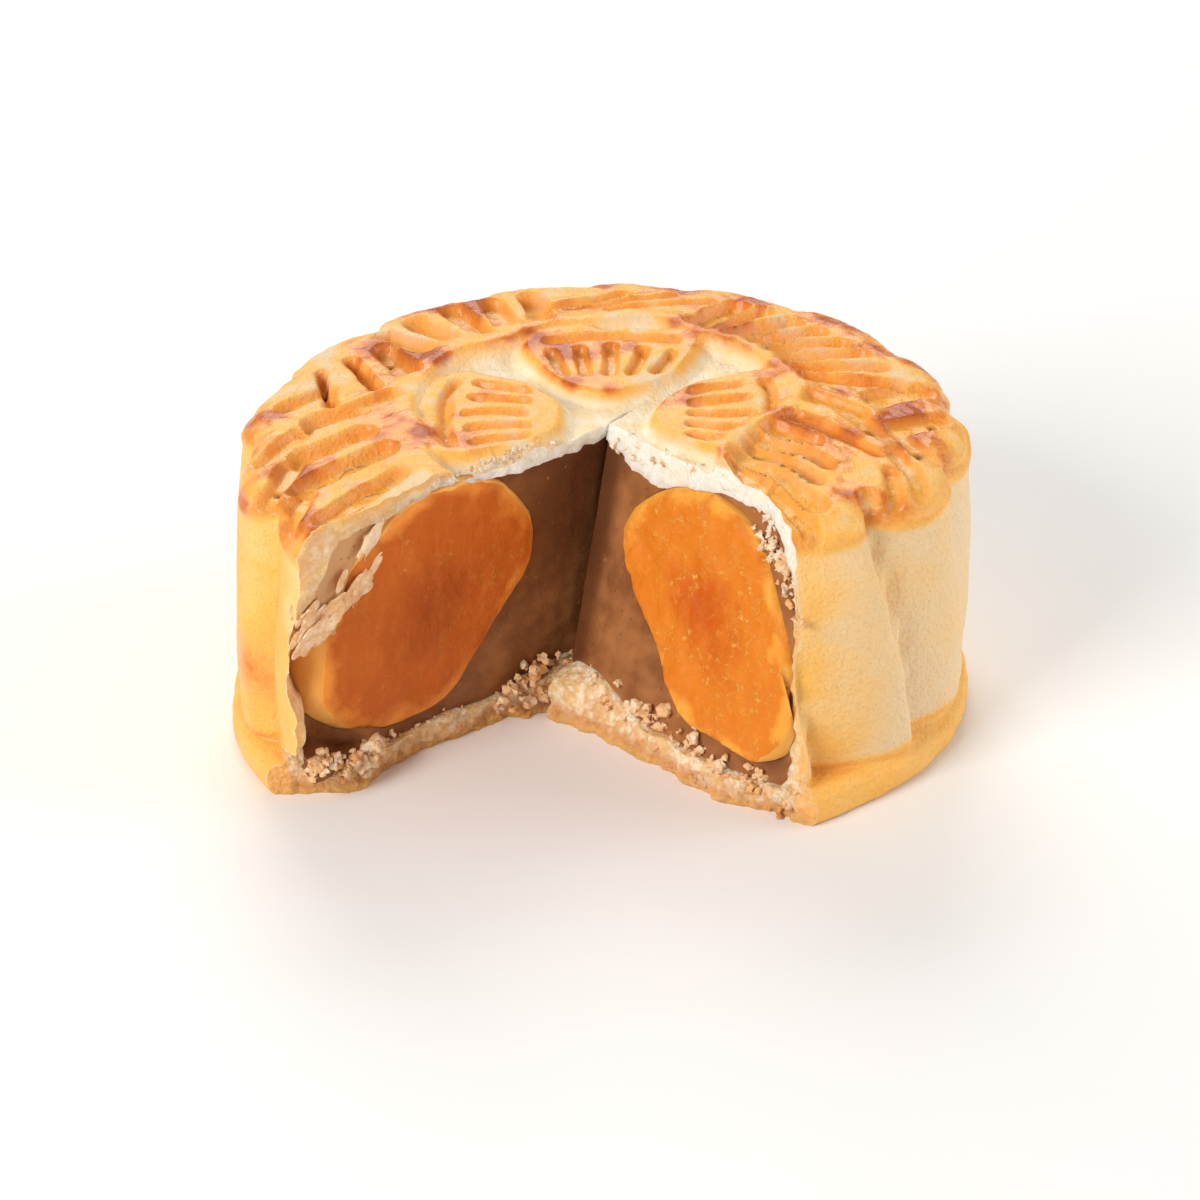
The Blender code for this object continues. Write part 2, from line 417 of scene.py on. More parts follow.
def place_of(mesh: bpy.types.Mesh) -> Array:
    """Points of a mesh in millimetres from the mould's axis.

    Args:
        mesh: The mesh to read.

    Returns:
        One row for each point.
    """
    points = np.empty(len(mesh.vertices) * 3, np.float32)
    mesh.vertices.foreach_get("co", points)
    return points.reshape(-1, 3) / MM - AXIS_PLACE


def store_values(mesh: bpy.types.Mesh, key: str, numbers: Array) -> None:
    """Write one value for each point of a mesh."""
    store = mesh.attributes.get(key) or mesh.attributes.new(key, "FLOAT", "POINT")
    store.data.foreach_set("value", numbers.astype(np.float32))


def shade_smooth(piece: bpy.types.Object, crease_degrees: float) -> None:
    """Shade a piece smooth with sharp edges past an angle."""
    piece.data.shade_smooth()
    piece.data.set_sharp_from_angle(angle=math.radians(crease_degrees))


# ---------------------------------------------------------------------------------------------
# The mould's shape
# ---------------------------------------------------------------------------------------------


@dataclass(frozen=True)
class Fan:
    """Slots pressed side by side; each pair is the first slot's value and the last one's."""

    bearing: Pair
    slots: int
    inner: Pair
    outer: Pair
    lean: float = 0.0
    width: float = 2.0
    depth: float = 1.15


@dataclass(frozen=True)
class Slot:
    """A long slot in the top, between two places in plan round the pattern's middle."""

    start: Array
    end: Array
    half_width: float
    depth: float

    def distance(self, plan: Array) -> Array:
        """Distance of each place in plan from the line between the slot's ends.

        Args:
            plan: Places round the pattern's middle.

        Returns:
            Millimetres from the nearest point of the line.
        """
        run = self.end - self.start
        share = np.clip(((plan - self.start) @ run) / (run @ run), 0, 1)
        return np.linalg.norm(plan - self.start - share[..., None] * run, axis=-1)


BORDER = (
    Fan((207, 173), 4, (25.0, 26.5), (34.0, 31.5), lean=3, width=3.1),
    Fan((203, 182), 3, (34.5, 32.5), (38.5, 36.0), lean=7, width=2.6, depth=0.8),
    Fan((160, 154), 2, (30.0, 26.0), (33.0, 31.5), lean=-14, width=1.3, depth=1.6),
    Fan((168, 164), 2, (24.0, 31.0), (28.0, 34.5), lean=6, width=2.4, depth=0.8),
    Fan((146, 146), 1, (23.4, 23.4), (30.0, 30.0), lean=-11, width=2.4),
    Fan((136, 104), 5, (25.0, 23.4), (32.5, 31.5), lean=-3, width=2.6),
    Fan((93, 75), 3, (25.2, 24.8), (30.5, 30.5), lean=-22, width=1.7, depth=0.7),
    Fan((60, 14), 8, (22.8, 23.0), (30.5, 32.5), lean=-3, width=2.45),
    Fan((1, -5), 2, (21.5, 25.8), (26.8, 29.0), lean=-6, width=3.0, depth=0.9),
    Fan((7, -4), 2, (29.0, 31.0), (34.5, 35.0), lean=5, width=2.8, depth=0.8),
    Fan((-13, -13), 1, (20.0, 20.0), (28.5, 28.5), lean=-10, width=2.1),
    Fan((-16, -48), 5, (15.8, 17.0), (23.0, 29.5), lean=-8, width=2.5, depth=1.1),
    Fan((-12, -38), 4, (30.5, 31.5), (34.5, 35.5), lean=-9, width=2.2, depth=0.6),
    Fan((222, 312), 11, (24.0, 24.0), (32.0, 32.0), lean=-3, width=2.6),
)


@dataclass(frozen=True)
class Mould:
    """The pressed outside of the whole cake.

    A place on it has a bearing in radians from +X and a run, its distance from the pattern's
    middle out over the top. The profile then rolls over the shoulder, down the lobed wall, over
    the foot and back under the cake.
    """

    half_width: float = 40.3
    half_depth: float = 37.3
    pinch: float = 4.6
    pinch_bearing: float = -55.0
    pinch_spread: float = 24.0
    inset_bearing: float = -54.0
    inset_spread: float = 17.0
    height: float = 35.0
    rim_height: float = 34.0
    level_run: float = 22.8
    wall_back: float = 0.8
    lobes: int = 17
    lobe_bearing: float = -36.8
    lobe_depth: float = 2.5
    lobe_lean: float = 0.42
    slant: float = 0.7
    shoulder_width: float = 5.6
    pattern_shift: Pair = (0.5, 3.0)
    ring_run: float = 21.6
    ground_depth: float = 1.9
    petals: int = 4
    petal_bearing: float = 85.0
    petal_middle: float = 12.3
    petal_half: Pair = (8.2, 9.4)
    crust_wall: float = 3.9
    crust_top: float = 3.6
    crust_floor: float = 3.2
    noise: Noise = field(default_factory=lambda: Noise(11))

    def outline(self, bearing: Array) -> Array:
        """Radius of the foot: an ellipse, pressed in at the right front.

        Args:
            bearing: Bearings in radians.

        Returns:
            Millimetres from the axis.
        """
        ellipse = 1 / np.hypot(np.cos(bearing) / self.half_width, np.sin(bearing) / self.half_depth)
        away = turn_between(bearing, self.pinch_bearing)
        return ellipse - self.pinch * np.exp(-0.5 * (away / self.pinch_spread) ** 2)

    def lobe_place(self, bearing: Array, height: Array | float) -> Array:
        """Place across each lobe, 0 and 1 at its creases, which lean over as they rise.

        Args:
            bearing: Bearings in radians.
            height: Heights over the floor.

        Returns:
            Numbers from 0 to 1.
        """
        uneven = 0.02 * np.sin(3 * bearing + 1) + 0.015 * np.sin(5 * bearing)
        beside_cut = bump(turn_between(bearing, -35), 0, 60)
        lean = math.radians(self.lobe_lean) * (30 - np.clip(height, 3, 32)) * beside_cut
        turn = (bearing + uneven - lean - math.radians(self.lobe_bearing)) * self.lobes / (2 * math.pi)
        return np.mod(turn, 1.0)

    def lobe_drop(self, bearing: Array, height: Array | float) -> Array:
        """How far the wall falls back from its lobes' crests.

        It falls slowly towards the crease on one side, as (1 - t / 0.65)^1.7, and sharply at the
        other, as ((t - 0.78) / 0.22)^2.

        Args:
            bearing: Bearings in radians.
            height: Heights over the floor.

        Returns:
            Millimetres inwards.
        """
        t = self.lobe_place(bearing, height)
        slow = np.clip(1 - t / 0.65, 0, 1) ** 1.7
        quick = np.clip((t - 0.78) / 0.22, 0, 1) ** 2
        return self.lobe_depth * np.maximum(slow, quick)

    def inset(self, bearing: Array, height: Array | float) -> Array:
        """How much further the wall leans in beside the right cut."""
        beside = bump(turn_between(bearing, self.inset_bearing), 0, self.inset_spread)
        return beside * (1.1 + 0.035 * np.clip(height - 5, 0, 30))

    def crown(self, run: Array) -> Array:
        """Height of the top before its relief: level inside the ring, lower towards the rim."""
        share = np.clip((run - self.level_run) / (self.half_depth - self.level_run), 0, 1)
        return self.height - 0.35 - (self.height - self.rim_height) * share**0.8

    def shift(self, run: Array) -> Array:
        """Offset in plan of the pattern's rings, fading out towards the rim."""
        share = np.clip((self.half_depth - run) / (self.half_depth - self.level_run), 0, 1)
        return share[..., None] * np.array(self.pattern_shift)

    def shoulder_run(self, bearing: Array) -> Array:
        """Run at which the top starts to roll over."""
        return self.outline(bearing) - self.shoulder_width - 0.9 * self.inset(bearing, 28)

    def wall_radius(self, bearing: Array, height: Array) -> Array:
        """Radius of the wall: the foot's less a step, swelling low down, less the lobes.

        Args:
            bearing: Bearings in radians.
            height: Heights over the floor.

        Returns:
            Millimetres from the axis.
        """
        swell = 0.5 - 0.7 * ((height - 13) / 14) ** 2
        back = self.wall_back + self.inset(bearing, height) + self.lobe_drop(bearing, height)
        return self.outline(bearing) - back + swell

    def place(self, bearing: Array, radius: Array, height: Array, shift: Array | float = 0) -> Array:
        """Points at a bearing, radius and height, slanted with the cake.

        Args:
            bearing: Bearings in radians.
            radius: Distances from the axis.
            height: Heights over the floor.
            shift: Offset in plan of each point.

        Returns:
            Rows of x, y, z.
        """
        plan = np.stack([radius * np.cos(bearing), radius * np.sin(bearing)], axis=-1) + shift
        x = plan[..., 0] + self.slant * height / self.height
        return np.stack([x, plan[..., 1], np.broadcast_to(height, x.shape)], axis=-1)

    def side_controls(self, bearing: Array) -> tuple[Array, Array]:
        """Radius and height of the side's profile at each bearing, from the top's edge down.

        Args:
            bearing: The columns' bearings.

        Returns:
            Two arrays of controls by columns.
        """
        foot = self.outline(bearing)
        top = self.shoulder_run(bearing)
        lobe = self.lobe_drop(bearing, 29)
        low_lobe = self.lobe_drop(bearing, 4)
        level = np.ones_like(bearing)
        rim = self.crown(top)
        wall_top = self.wall_radius(bearing, 30.6) + 0.15 * lobe
        wave = 0.35 * np.sin(9 * bearing + 2) + 0.2 * np.sin(23 * bearing)
        rows = [
            (top - 1.5, self.crown(top - 1.5)),
            (top, rim),
            (top + 1.9, rim - 0.45 - 0.25 * lobe),
            (np.minimum(top + 3.6 - 0.45 * lobe, wall_top - 0.5), rim - 1.6 - 0.2 * lobe),
            (wall_top, 30.6 * level),
            (self.wall_radius(bearing, 27.5), 27.5 * level),
            (self.wall_radius(bearing, 21.0), 21.0 * level),
            (self.wall_radius(bearing, 14.0), 14.0 * level),
            (self.wall_radius(bearing, 8.5), 8.5 * level),
            (self.wall_radius(bearing, 5.4) - 0.1, 5.4 * level),
            (self.wall_radius(bearing, 4.4) - 0.15, (4.15 + 0.2 * wave) * level),
            (foot - 1.1 - 0.25 * low_lobe, (3.75 + 0.5 * wave) * level),
            (foot - 0.25 - 0.15 * low_lobe, (2.9 + 0.5 * wave) * level),
            (foot + 0.05 * wave - 0.1 * low_lobe, 1.7 * level),
            (foot - 0.25, 0.55 * level),
            (foot - 0.95, 0.02 * level),
            (foot - 2.4, 0 * level),
        ]
        radii, heights = (np.stack(list(column)) for column in zip(*rows))
        return radii, heights


@dataclass(frozen=True)
class Relief:
    """The pattern pressed in the top, as heights over the crown and what each place looks like."""

    mould: Mould
    slots: tuple[Slot, ...]
    pits: tuple[tuple[float, float, float], ...]

    @staticmethod
    def pressed(mould: Mould) -> "Relief":
        """Lay out the border's slots, fan by fan, with a little unevenness.

        Args:
            mould: The mould that the pattern belongs to.

        Returns:
            The whole pattern.
        """
        draw = np.random.default_rng(5)
        slots, pits = [], []
        for fan in BORDER:
            for share in np.linspace(0, 1, fan.slots) if fan.slots > 1 else [0.0]:
                bearing = np.interp(share, (0, 1), fan.bearing) + draw.uniform(-0.7, 0.7)
                inner = np.interp(share, (0, 1), fan.inner) + draw.uniform(-0.4, 0.4)
                outer = np.interp(share, (0, 1), fan.outer) + draw.uniform(-0.5, 0.5)
                half_width = fan.width / 2 * draw.uniform(0.85, 1.1)
                start = inner * heading(bearing - fan.lean / 2)
                end = outer * heading(bearing + fan.lean / 2)
                slots.append(Slot(start, end, half_width, fan.depth * draw.uniform(1.1, 1.45)))
                pit_share, pit_size = draw.uniform(0.55, 1.0), draw.uniform(-0.9, 0.95)
                pits.append((*(start + pit_share * (end - start)), pit_size))
        return Relief(mould, tuple(slots), tuple(pits))

    def ring_run(self, bearing: Array) -> Array:
        """Run of the wavy ridge round the middle: pressed inwards at the right front.

        Args:
            bearing: Bearings in radians.

        Returns:
            Distances from the pattern's middle.
        """
        wave = 0.6 * np.sin(5 * bearing + 1) + 0.35 * np.sin(11 * bearing)
        inward = 6.4 * bump(turn_between(bearing, -30), 0, 30)
        return self.mould.ring_run + wave - inward

    def petal(self, plan: Array) -> tuple[Array, Array]:
        """Height of the petals over the ground from 0 to 1, and the depth of their slots.

        Each petal is a rounded box in its own plan, (a/A)^2.8 + (b/B)^2.8 = 1, wider at its
        outer end and notched there, with five slots along it and an arc across its outer end.

        Args:
            plan: Places round the pattern's middle.

        Returns:
            The petals' share of full height and their slots' share of full depth.
        """
        body = np.zeros(plan.shape[:-1])
        slots = np.zeros(plan.shape[:-1])
        long_half, wide_half = self.mould.petal_half
        squareness = 2.8
        for index in range(self.mould.petals):
            along = heading(self.mould.petal_bearing + 360 * index / self.mould.petals)
            a = plan @ along - self.mould.petal_middle
            b = plan @ np.array([-along[1], along[0]])
            width = wide_half * (1 + 0.055 * np.clip(a, -long_half, long_half))
            notch = 0.09 * np.exp(-((b / 1.4) ** 2)) * smooth(0, long_half, a)
            edge = (np.abs(a) / long_half) ** squareness + (np.abs(b) / width) ** squareness
            edge = edge ** (1 / squareness) + notch
            body = np.maximum(body, smooth(1.06, 0.84, edge))
            for side in (-2, -1, 0, 1, 2):
                off = np.abs(b - side * width * 0.32)
                ends = np.abs(a + 0.3 + 0.3 * abs(side)) - 3.1 + 0.45 * abs(side)
                gap = np.hypot(off, np.maximum(ends, 0))
                slots = np.maximum(slots, smooth(0.95, 0.35, gap))
            arc = bump(np.hypot(a + 9.5, b * 0.8), 14.7, 0.55)
            arc = arc * smooth(0.68, 0.58, np.abs(b) / width)
            slots = np.maximum(slots, arc * (a > 0))
        return body, slots

    def at(self, bearing: Array, run: Array) -> dict[str, Array]:
        """Relief at places on the top and over the shoulder.

        The relief is the sum of a wavy ring ridge, the plain ground within it less the petals,
        the border's slots and a low unevenness.

        Args:
            bearing: Bearings in radians.
            run: Distances from the pattern's middle along the surface.

        Returns:
            The height over the crown ("rise") and, from 0 to 1, how far each place is washed
            with egg ("wash"), plain pale ground ("pale"), burnt glossy pit ("pit") and slot
            ("hollow").
        """
        plan = np.stack([run * np.cos(bearing), run * np.sin(bearing)], axis=-1)
        solid = np.concatenate([plan, np.zeros_like(plan[..., :1])], axis=-1)
        noise = self.mould.noise
        warp = np.stack([noise.at(solid, 5.0), noise.at(solid + 31, 5.0)], axis=-1)
        plan = plan + 0.45 * warp
        ring = self.ring_run(bearing)
        inside = smooth(ring - 0.7, ring - 2.3, run)
        ridge = bump(run, ring, 1.5)
        petals, petal_slots = self.petal(plan)
        slotted, hollow = np.zeros_like(run), np.zeros_like(run)
        for slot in self.slots:
            reach = slot.distance(plan)
            pressed = smooth(slot.half_width + 0.3, slot.half_width - 0.5, reach)
            slotted = np.maximum(slotted, slot.depth * pressed)
            bottom = smooth(slot.half_width + 0.4, slot.half_width - 0.75, reach)
            hollow = np.maximum(hollow, bottom)
        beyond_ring = smooth(ring - 0.4, ring + 1.2, run)
        slotted = slotted * beyond_ring
        pit = np.zeros_like(run)
        for x, y, size in self.pits:
            if size > 0:
                away = np.linalg.norm(plan - (x, y), axis=-1)
                burnt = smooth(0.55 + 0.45 * size, 0.1, away)
                pit = np.maximum(pit, burnt * smooth(0, 0.4, slotted))
        low = noise.octaves(solid, 7.0, 3)
        rise = (
            0.35 * ridge
            - inside * self.mould.ground_depth * (1 - petals * 0.93)
            - inside * petals * petal_slots
            - slotted
            - 0.5 * pit
            + 0.22 * low * (1 - 0.6 * inside)
            + 0.07 * noise.at(solid, 1.1)
        )
        back_right = bump(turn_between(bearing, 35), 0, 55)
        patches = noise.octaves(solid + 90, 9.0, 4, 0.6)
        border_wash = 0.45 + 0.06 * ridge + 0.14 * smooth(27, 35, run) + 0.08 * back_right
        border_wash = border_wash + 0.66 * patches
        petal_wash = 0.32 + 0.26 * smooth(5, 17, run) + 0.7 * patches
        wash = border_wash * (1 - inside) + inside * petals * petal_wash
        hollow = np.maximum(hollow * beyond_ring, inside * petals * petal_slots)
        pale = inside * (1 - smooth(0.1, 0.75, petals))
        return {"rise": rise, "wash": np.clip(wash, 0, 1), "pale": pale, "pit": pit, "hollow": hollow}


# ---------------------------------------------------------------------------------------------
# The wedge
# ---------------------------------------------------------------------------------------------


@dataclass(frozen=True)
class CutFace:
    """One face of the wedge: a ruled surface that leans as it rises."""

    start: Pair
    bearing: float
    side: int
    lean: Pair
    rim: float
    upright: Pair = (20.0, 34.0)
    lean_height: float = 34.0

    @property
    def along(self) -> Array:
        """Unit vector in plan along the face, away from the axis."""
        return heading(self.bearing)

    @property
    def into_gap(self) -> Array:
        """Unit vector in plan out of the face, into the wedge."""
        return self.side * np.array([-self.along[1], self.along[0]])

    def offset(self, distance: Array, height: Array) -> Array:
        """Lean into the gap, which straightens up towards the rim.

        Args:
            distance: Distances along the face.
            height: Heights over the floor.

        Returns:
            Millimetres out of the upright plane through the face's start.
        """
        share = height / self.lean_height
        leaning = self.lean[0] * (1 - share) + self.lean[1] * share
        upright = smooth(self.upright[0], self.upright[1], distance)
        return leaning * (1 - upright) + self.rim * upright

    def point(self, distance: Array, height: Array, proud: Array | float = 0.0) -> Array:
        """Points of the face, moved out of it by an extra amount.

        Args:
            distance: Distances along the face.
            height: Heights over the floor.
            proud: Millimetres that each point stands out into the gap.

        Returns:
            Rows of x, y, z.
        """
        distance, height = np.broadcast_arrays(distance, height)
        out = (self.offset(distance, height) + proud)[..., None]
        plan = np.array(self.start) + distance[..., None] * self.along + out * self.into_gap
        return np.concatenate([plan, height[..., None]], axis=-1)

    def axes(self) -> Array:
        """The face's own directions.

        Returns:
            Rows: unit vectors along the face, up it and out of it into the gap.
        """
        out = np.array([*self.into_gap, 0.0])
        up = np.array([0, 0, 1.0]) + out * (self.lean[1] - self.lean[0]) / self.lean_height
        up /= np.linalg.norm(up)
        out -= up * (out @ up)
        return np.stack([[*self.along, 0.0], up, out / np.linalg.norm(out)])


LEFT_FACE = CutFace((-2.2, 0.5), -146.0, 1, (-3.0, 0.0), 0.0)
RIGHT_FACE = CutFace((-1.2, -1.5), -50.0, -1, (2.5, -5.5), -1.0)


Roughness = Callable[[CutFace, Array], Array]


@dataclass(frozen=True)
class Wedge:
    """The space between the two cut faces, ending in a slit behind the axis."""

    left: CutFace = LEFT_FACE
    right: CutFace = RIGHT_FACE
    right_start: float = -2.3
    reach: float = 43.0
    far: float = 62.0
    floor: float = -3.0
    ceiling: float = 39.0
    step: float = 0.36
    slit_foot: Pair = (-2.0, 3.0)
    slit_top: Pair = (4.3, 6.5)
    slit_points: int = 14

    def tip(self, height: Array) -> Array:
        """Where the slit ends at each height, running further back towards the top.

        Args:
            height: Heights over the floor.

        Returns:
            Rows of x, y, z.
        """
        share = np.clip(height / self.left.lean_height, 0, 1.2)[..., None] ** 1.6
        plan = np.array(self.slit_foot) * (1 - share) + np.array(self.slit_top) * share
        return np.concatenate([plan, height[..., None]], axis=-1)

    def cutter(self, roughness: Roughness) -> Shell:
        """Closed surface that cuts the wedge out.

        Each height has one ring: in along the left face, back into the slit and out along the
        right face. Rungs between the two sides close it above and below.

        Args:
            roughness: Function of a face and points that gives how far they stand proud.

        Returns:
            The cutter, whose faces belong to the crumb.
        """
        heights = np.arange(self.floor, self.ceiling, self.step)
        near = np.arange(0.0, self.reach, self.step)
        left_run = np.concatenate([[self.far], near[::-1]])[None, :]
        right_run = np.concatenate([near + self.right_start, [self.far]])[None, :]
        tall = heights[:, None]
        left = self.left.point(left_run, tall)
        right = self.right.point(right_run, tall)
        tip = self.tip(heights)[:, None, :]
        share = np.linspace(0, 1, self.slit_points + 2)[1:-1][None, :, None]
        into_slit = left[:, -1:] * (1 - share) + tip * share
        out_of_slit = tip * (1 - share) + right[:, :1] * share
        left_side = np.concatenate([left, into_slit], axis=1)
        right_side = np.concatenate([out_of_slit, right], axis=1)
        left_out = np.array([*self.left.into_gap, 0.0])
        right_out = np.array([*self.right.into_gap, 0.0])
        left_side = left_side + roughness(self.left, left_side)[..., None] * left_out
        right_side = right_side + roughness(self.right, right_side)[..., None] * right_out
        rings = np.concatenate([left_side, tip, right_side], axis=1)
        count, around = rings.shape[:2]
        half, top = left_side.shape[1], (count - 1) * around
        near_side = np.arange(half)
        far_side = around - 1 - near_side
        rungs = np.stack([near_side[:-1], near_side[1:], far_side[1:], far_side[:-1]], axis=-1)
        quads = np.concatenate([loop_quads(count, around), rungs[:, ::-1], top + rungs])
        last_rung = np.array([half - 1, half, half + 1])
        caps = np.stack([last_rung[::-1], top + last_rung])
        return Shell(rings.reshape(-1, 3), quads, caps, layer=Layer.CRUMB)


# ---------------------------------------------------------------------------------------------
# Pieces
# ---------------------------------------------------------------------------------------------

LOW_CORNER, HIGH_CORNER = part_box("crust")
MOULD = Mould()
AXIS_PLACE = np.array([
    LOW_CORNER.x / MM + MOULD.half_width, HIGH_CORNER.y / MM - MOULD.half_depth, 0.0])


def blend_rows(controls: Array, stations: Array) -> Array:
    """Smooth profile through control rows, read at stations between them.

    Each span is the cubic through two controls whose slopes there are half the step between
    the controls on either side.

    Args:
        controls: Values by control and column.
        stations: Where to read, from 0 at the first control to the last one's index.

    Returns:
        Values by station and column.
    """
    last = len(controls) - 1
    span = np.clip(np.floor(stations).astype(int), 0, last - 1)
    t = (stations - span)[:, None]
    before = controls[np.maximum(span - 1, 0)]
    here, there = controls[span], controls[span + 1]
    after = controls[np.minimum(span + 2, last)]
    curve = -0.5 * before + 1.5 * here - 1.5 * there + 0.5 * after
    bend = before - 2.5 * here + 2 * there - 0.5 * after
    return here + 0.5 * (there - before) * t + bend * t**2 + curve * t**3


def closed_curve(controls: Array, count: int) -> Array:
    """Smooth closed curve through controls, as evenly stepped points.

    Args:
        controls: Places that it passes through.
        count: Number of points.

    Returns:
        The points in order.
    """
    padded = np.concatenate([controls[-1:], controls, controls[:2]])
    return blend_rows(padded, 1 + np.arange(count) * len(controls) / count)


def crumble(noise: Noise, points: Array) -> Array:
    """How a broken pastry surface rises and falls: broad lumps with two sizes of grain on them.

    Args:
        noise: Noise to read.
        points: Places in millimetres.

    Returns:
        Millimetres outwards for each place.
    """
    broad = 0.45 * noise.octaves(points, 3.2, 3, 0.6)
    coarse = 0.55 * (0.6 - noise.grains(points, 1.7))
    fine = 0.28 * (0.6 - noise.grains(points + 17, 0.8))
    return broad + coarse + fine


@dataclass(frozen=True)
class Lump:
    """An uneven blob: three half sizes, lying along a bearing and tipped up at one end.

    A coarse one is large enough to carry the crumb's own grain.
    """

    COARSE = 4.0

    middle: Array
    bearing: float
    half: tuple[float, float, float]
    tip: float = 0.0
    roll: float = 0.0

    def shell(self, noise: Noise, uneven: float, rings: int) -> Shell:
        """Closed surface of the blob, with both poles on its long axis.

        Args:
            noise: Noise that deforms it.
            uneven: How far a place moves, in millimetres.
            rings: Rings from pole to pole.

        Returns:
            The blob, whose faces belong to the crumb.
        """
        polar = np.linspace(0, math.pi, rings + 2)[1:-1, None]
        turn = np.arange(2 * rings)[None, :] * math.pi / rings
        unit = np.stack(np.broadcast_arrays(
            np.cos(polar), np.sin(polar) * np.cos(turn), np.sin(polar) * np.sin(turn)), axis=-1)
        shell = capped_tube(unit, np.array([[1, 0, 0], [-1, 0, 0]]))
        axes = (Matrix.Rotation(math.radians(self.bearing), 3, "Z")
                @ Matrix.Rotation(math.radians(self.tip), 3, "Y")
                @ Matrix.Rotation(math.radians(self.roll), 3, "X"))
        shell.points = self.middle + (shell.points * self.half) @ np.array(axes).T
        size = max(self.half)
        if size > self.COARSE:
            return shell.raised(uneven * crumble(noise, shell.points))
        return shell.raised(uneven * noise.octaves(shell.points, 0.9 * size, 2))


@dataclass(frozen=True)
class Gouge:
    """A hole broken in from the front: an outline seen from the front, and how deep it goes."""

    outline: tuple[Pair, ...]
    reach: Pair
    around: int = 160
    rows: int = 50
    cap_rows: int = 20

    def cutter(self, noise: Noise, amount: float) -> Shell:
        """Closed surface of the hole, a smooth outline drawn back and roughened.

        Args:
            noise: Noise that roughens it.
            amount: How far a place moves, in millimetres.

        Returns:
            The cutter.
        """
        loop = closed_curve(np.array(self.outline, float), self.around)
        middle = loop.mean(axis=0)
        front, back = self.reach
        opening, closing = np.linspace(0.02, 1, self.cap_rows), np.linspace(1, 0.02, self.cap_rows)
        shrink = np.concatenate([opening, np.ones(self.rows), closing])
        depth = np.linspace(front, back, self.rows)
        depth = np.pad(depth, self.cap_rows, mode="edge")
        flat = middle + (loop - middle)[None] * shrink[:, None, None]
        depth = np.broadcast_to(depth[:, None], flat.shape[:2])
        rings = np.stack([flat[..., 0], depth, flat[..., 1]], axis=-1)
        hubs = np.array([[middle[0], front, middle[1]], [middle[0], back, middle[1]]])
        shell = capped_tube(rings, hubs)
        push = amount * crumble(noise, shell.points)
        push[-2:] = 0
        return shell.raised(push)


TORN_CORNER = Gouge((
    (-32.4, 24.0), (-33.4, 20.0), (-33.8, 15.0), (-32.6, 11.5), (-32.4, 9.0), (-34.4, 6.4),
    (-30.0, 5.2), (-24.0, 5.0), (-16.0, 12.0), (-20.0, 24.0), (-28.0, 27.0)), (-60.0, -12.5))
BROKEN_FOOT = Gouge((
    (-44.0, 3.0), (-39.0, 6.0), (-30.0, 6.5), (-24.5, 5.0), (-22.0, 1.0), (-24.0, -4.0),
    (-44.0, -4.0)), (-60.0, -15.6))
PASTE_CORNER = Gouge((
    (-30.5, 20.5), (-36.0, 19.5), (-38.0, 12.0), (-36.5, 7.0), (-30.0, 4.6), (-24.5, 6.0),
    (-22.0, 11.0), (-25.5, 18.0)), (-60.0, -13.5))
TOP_CHIP = Lump(np.array([4.9, -6.2, 37.3]), -50, (11.5, 4.6, 4.6))


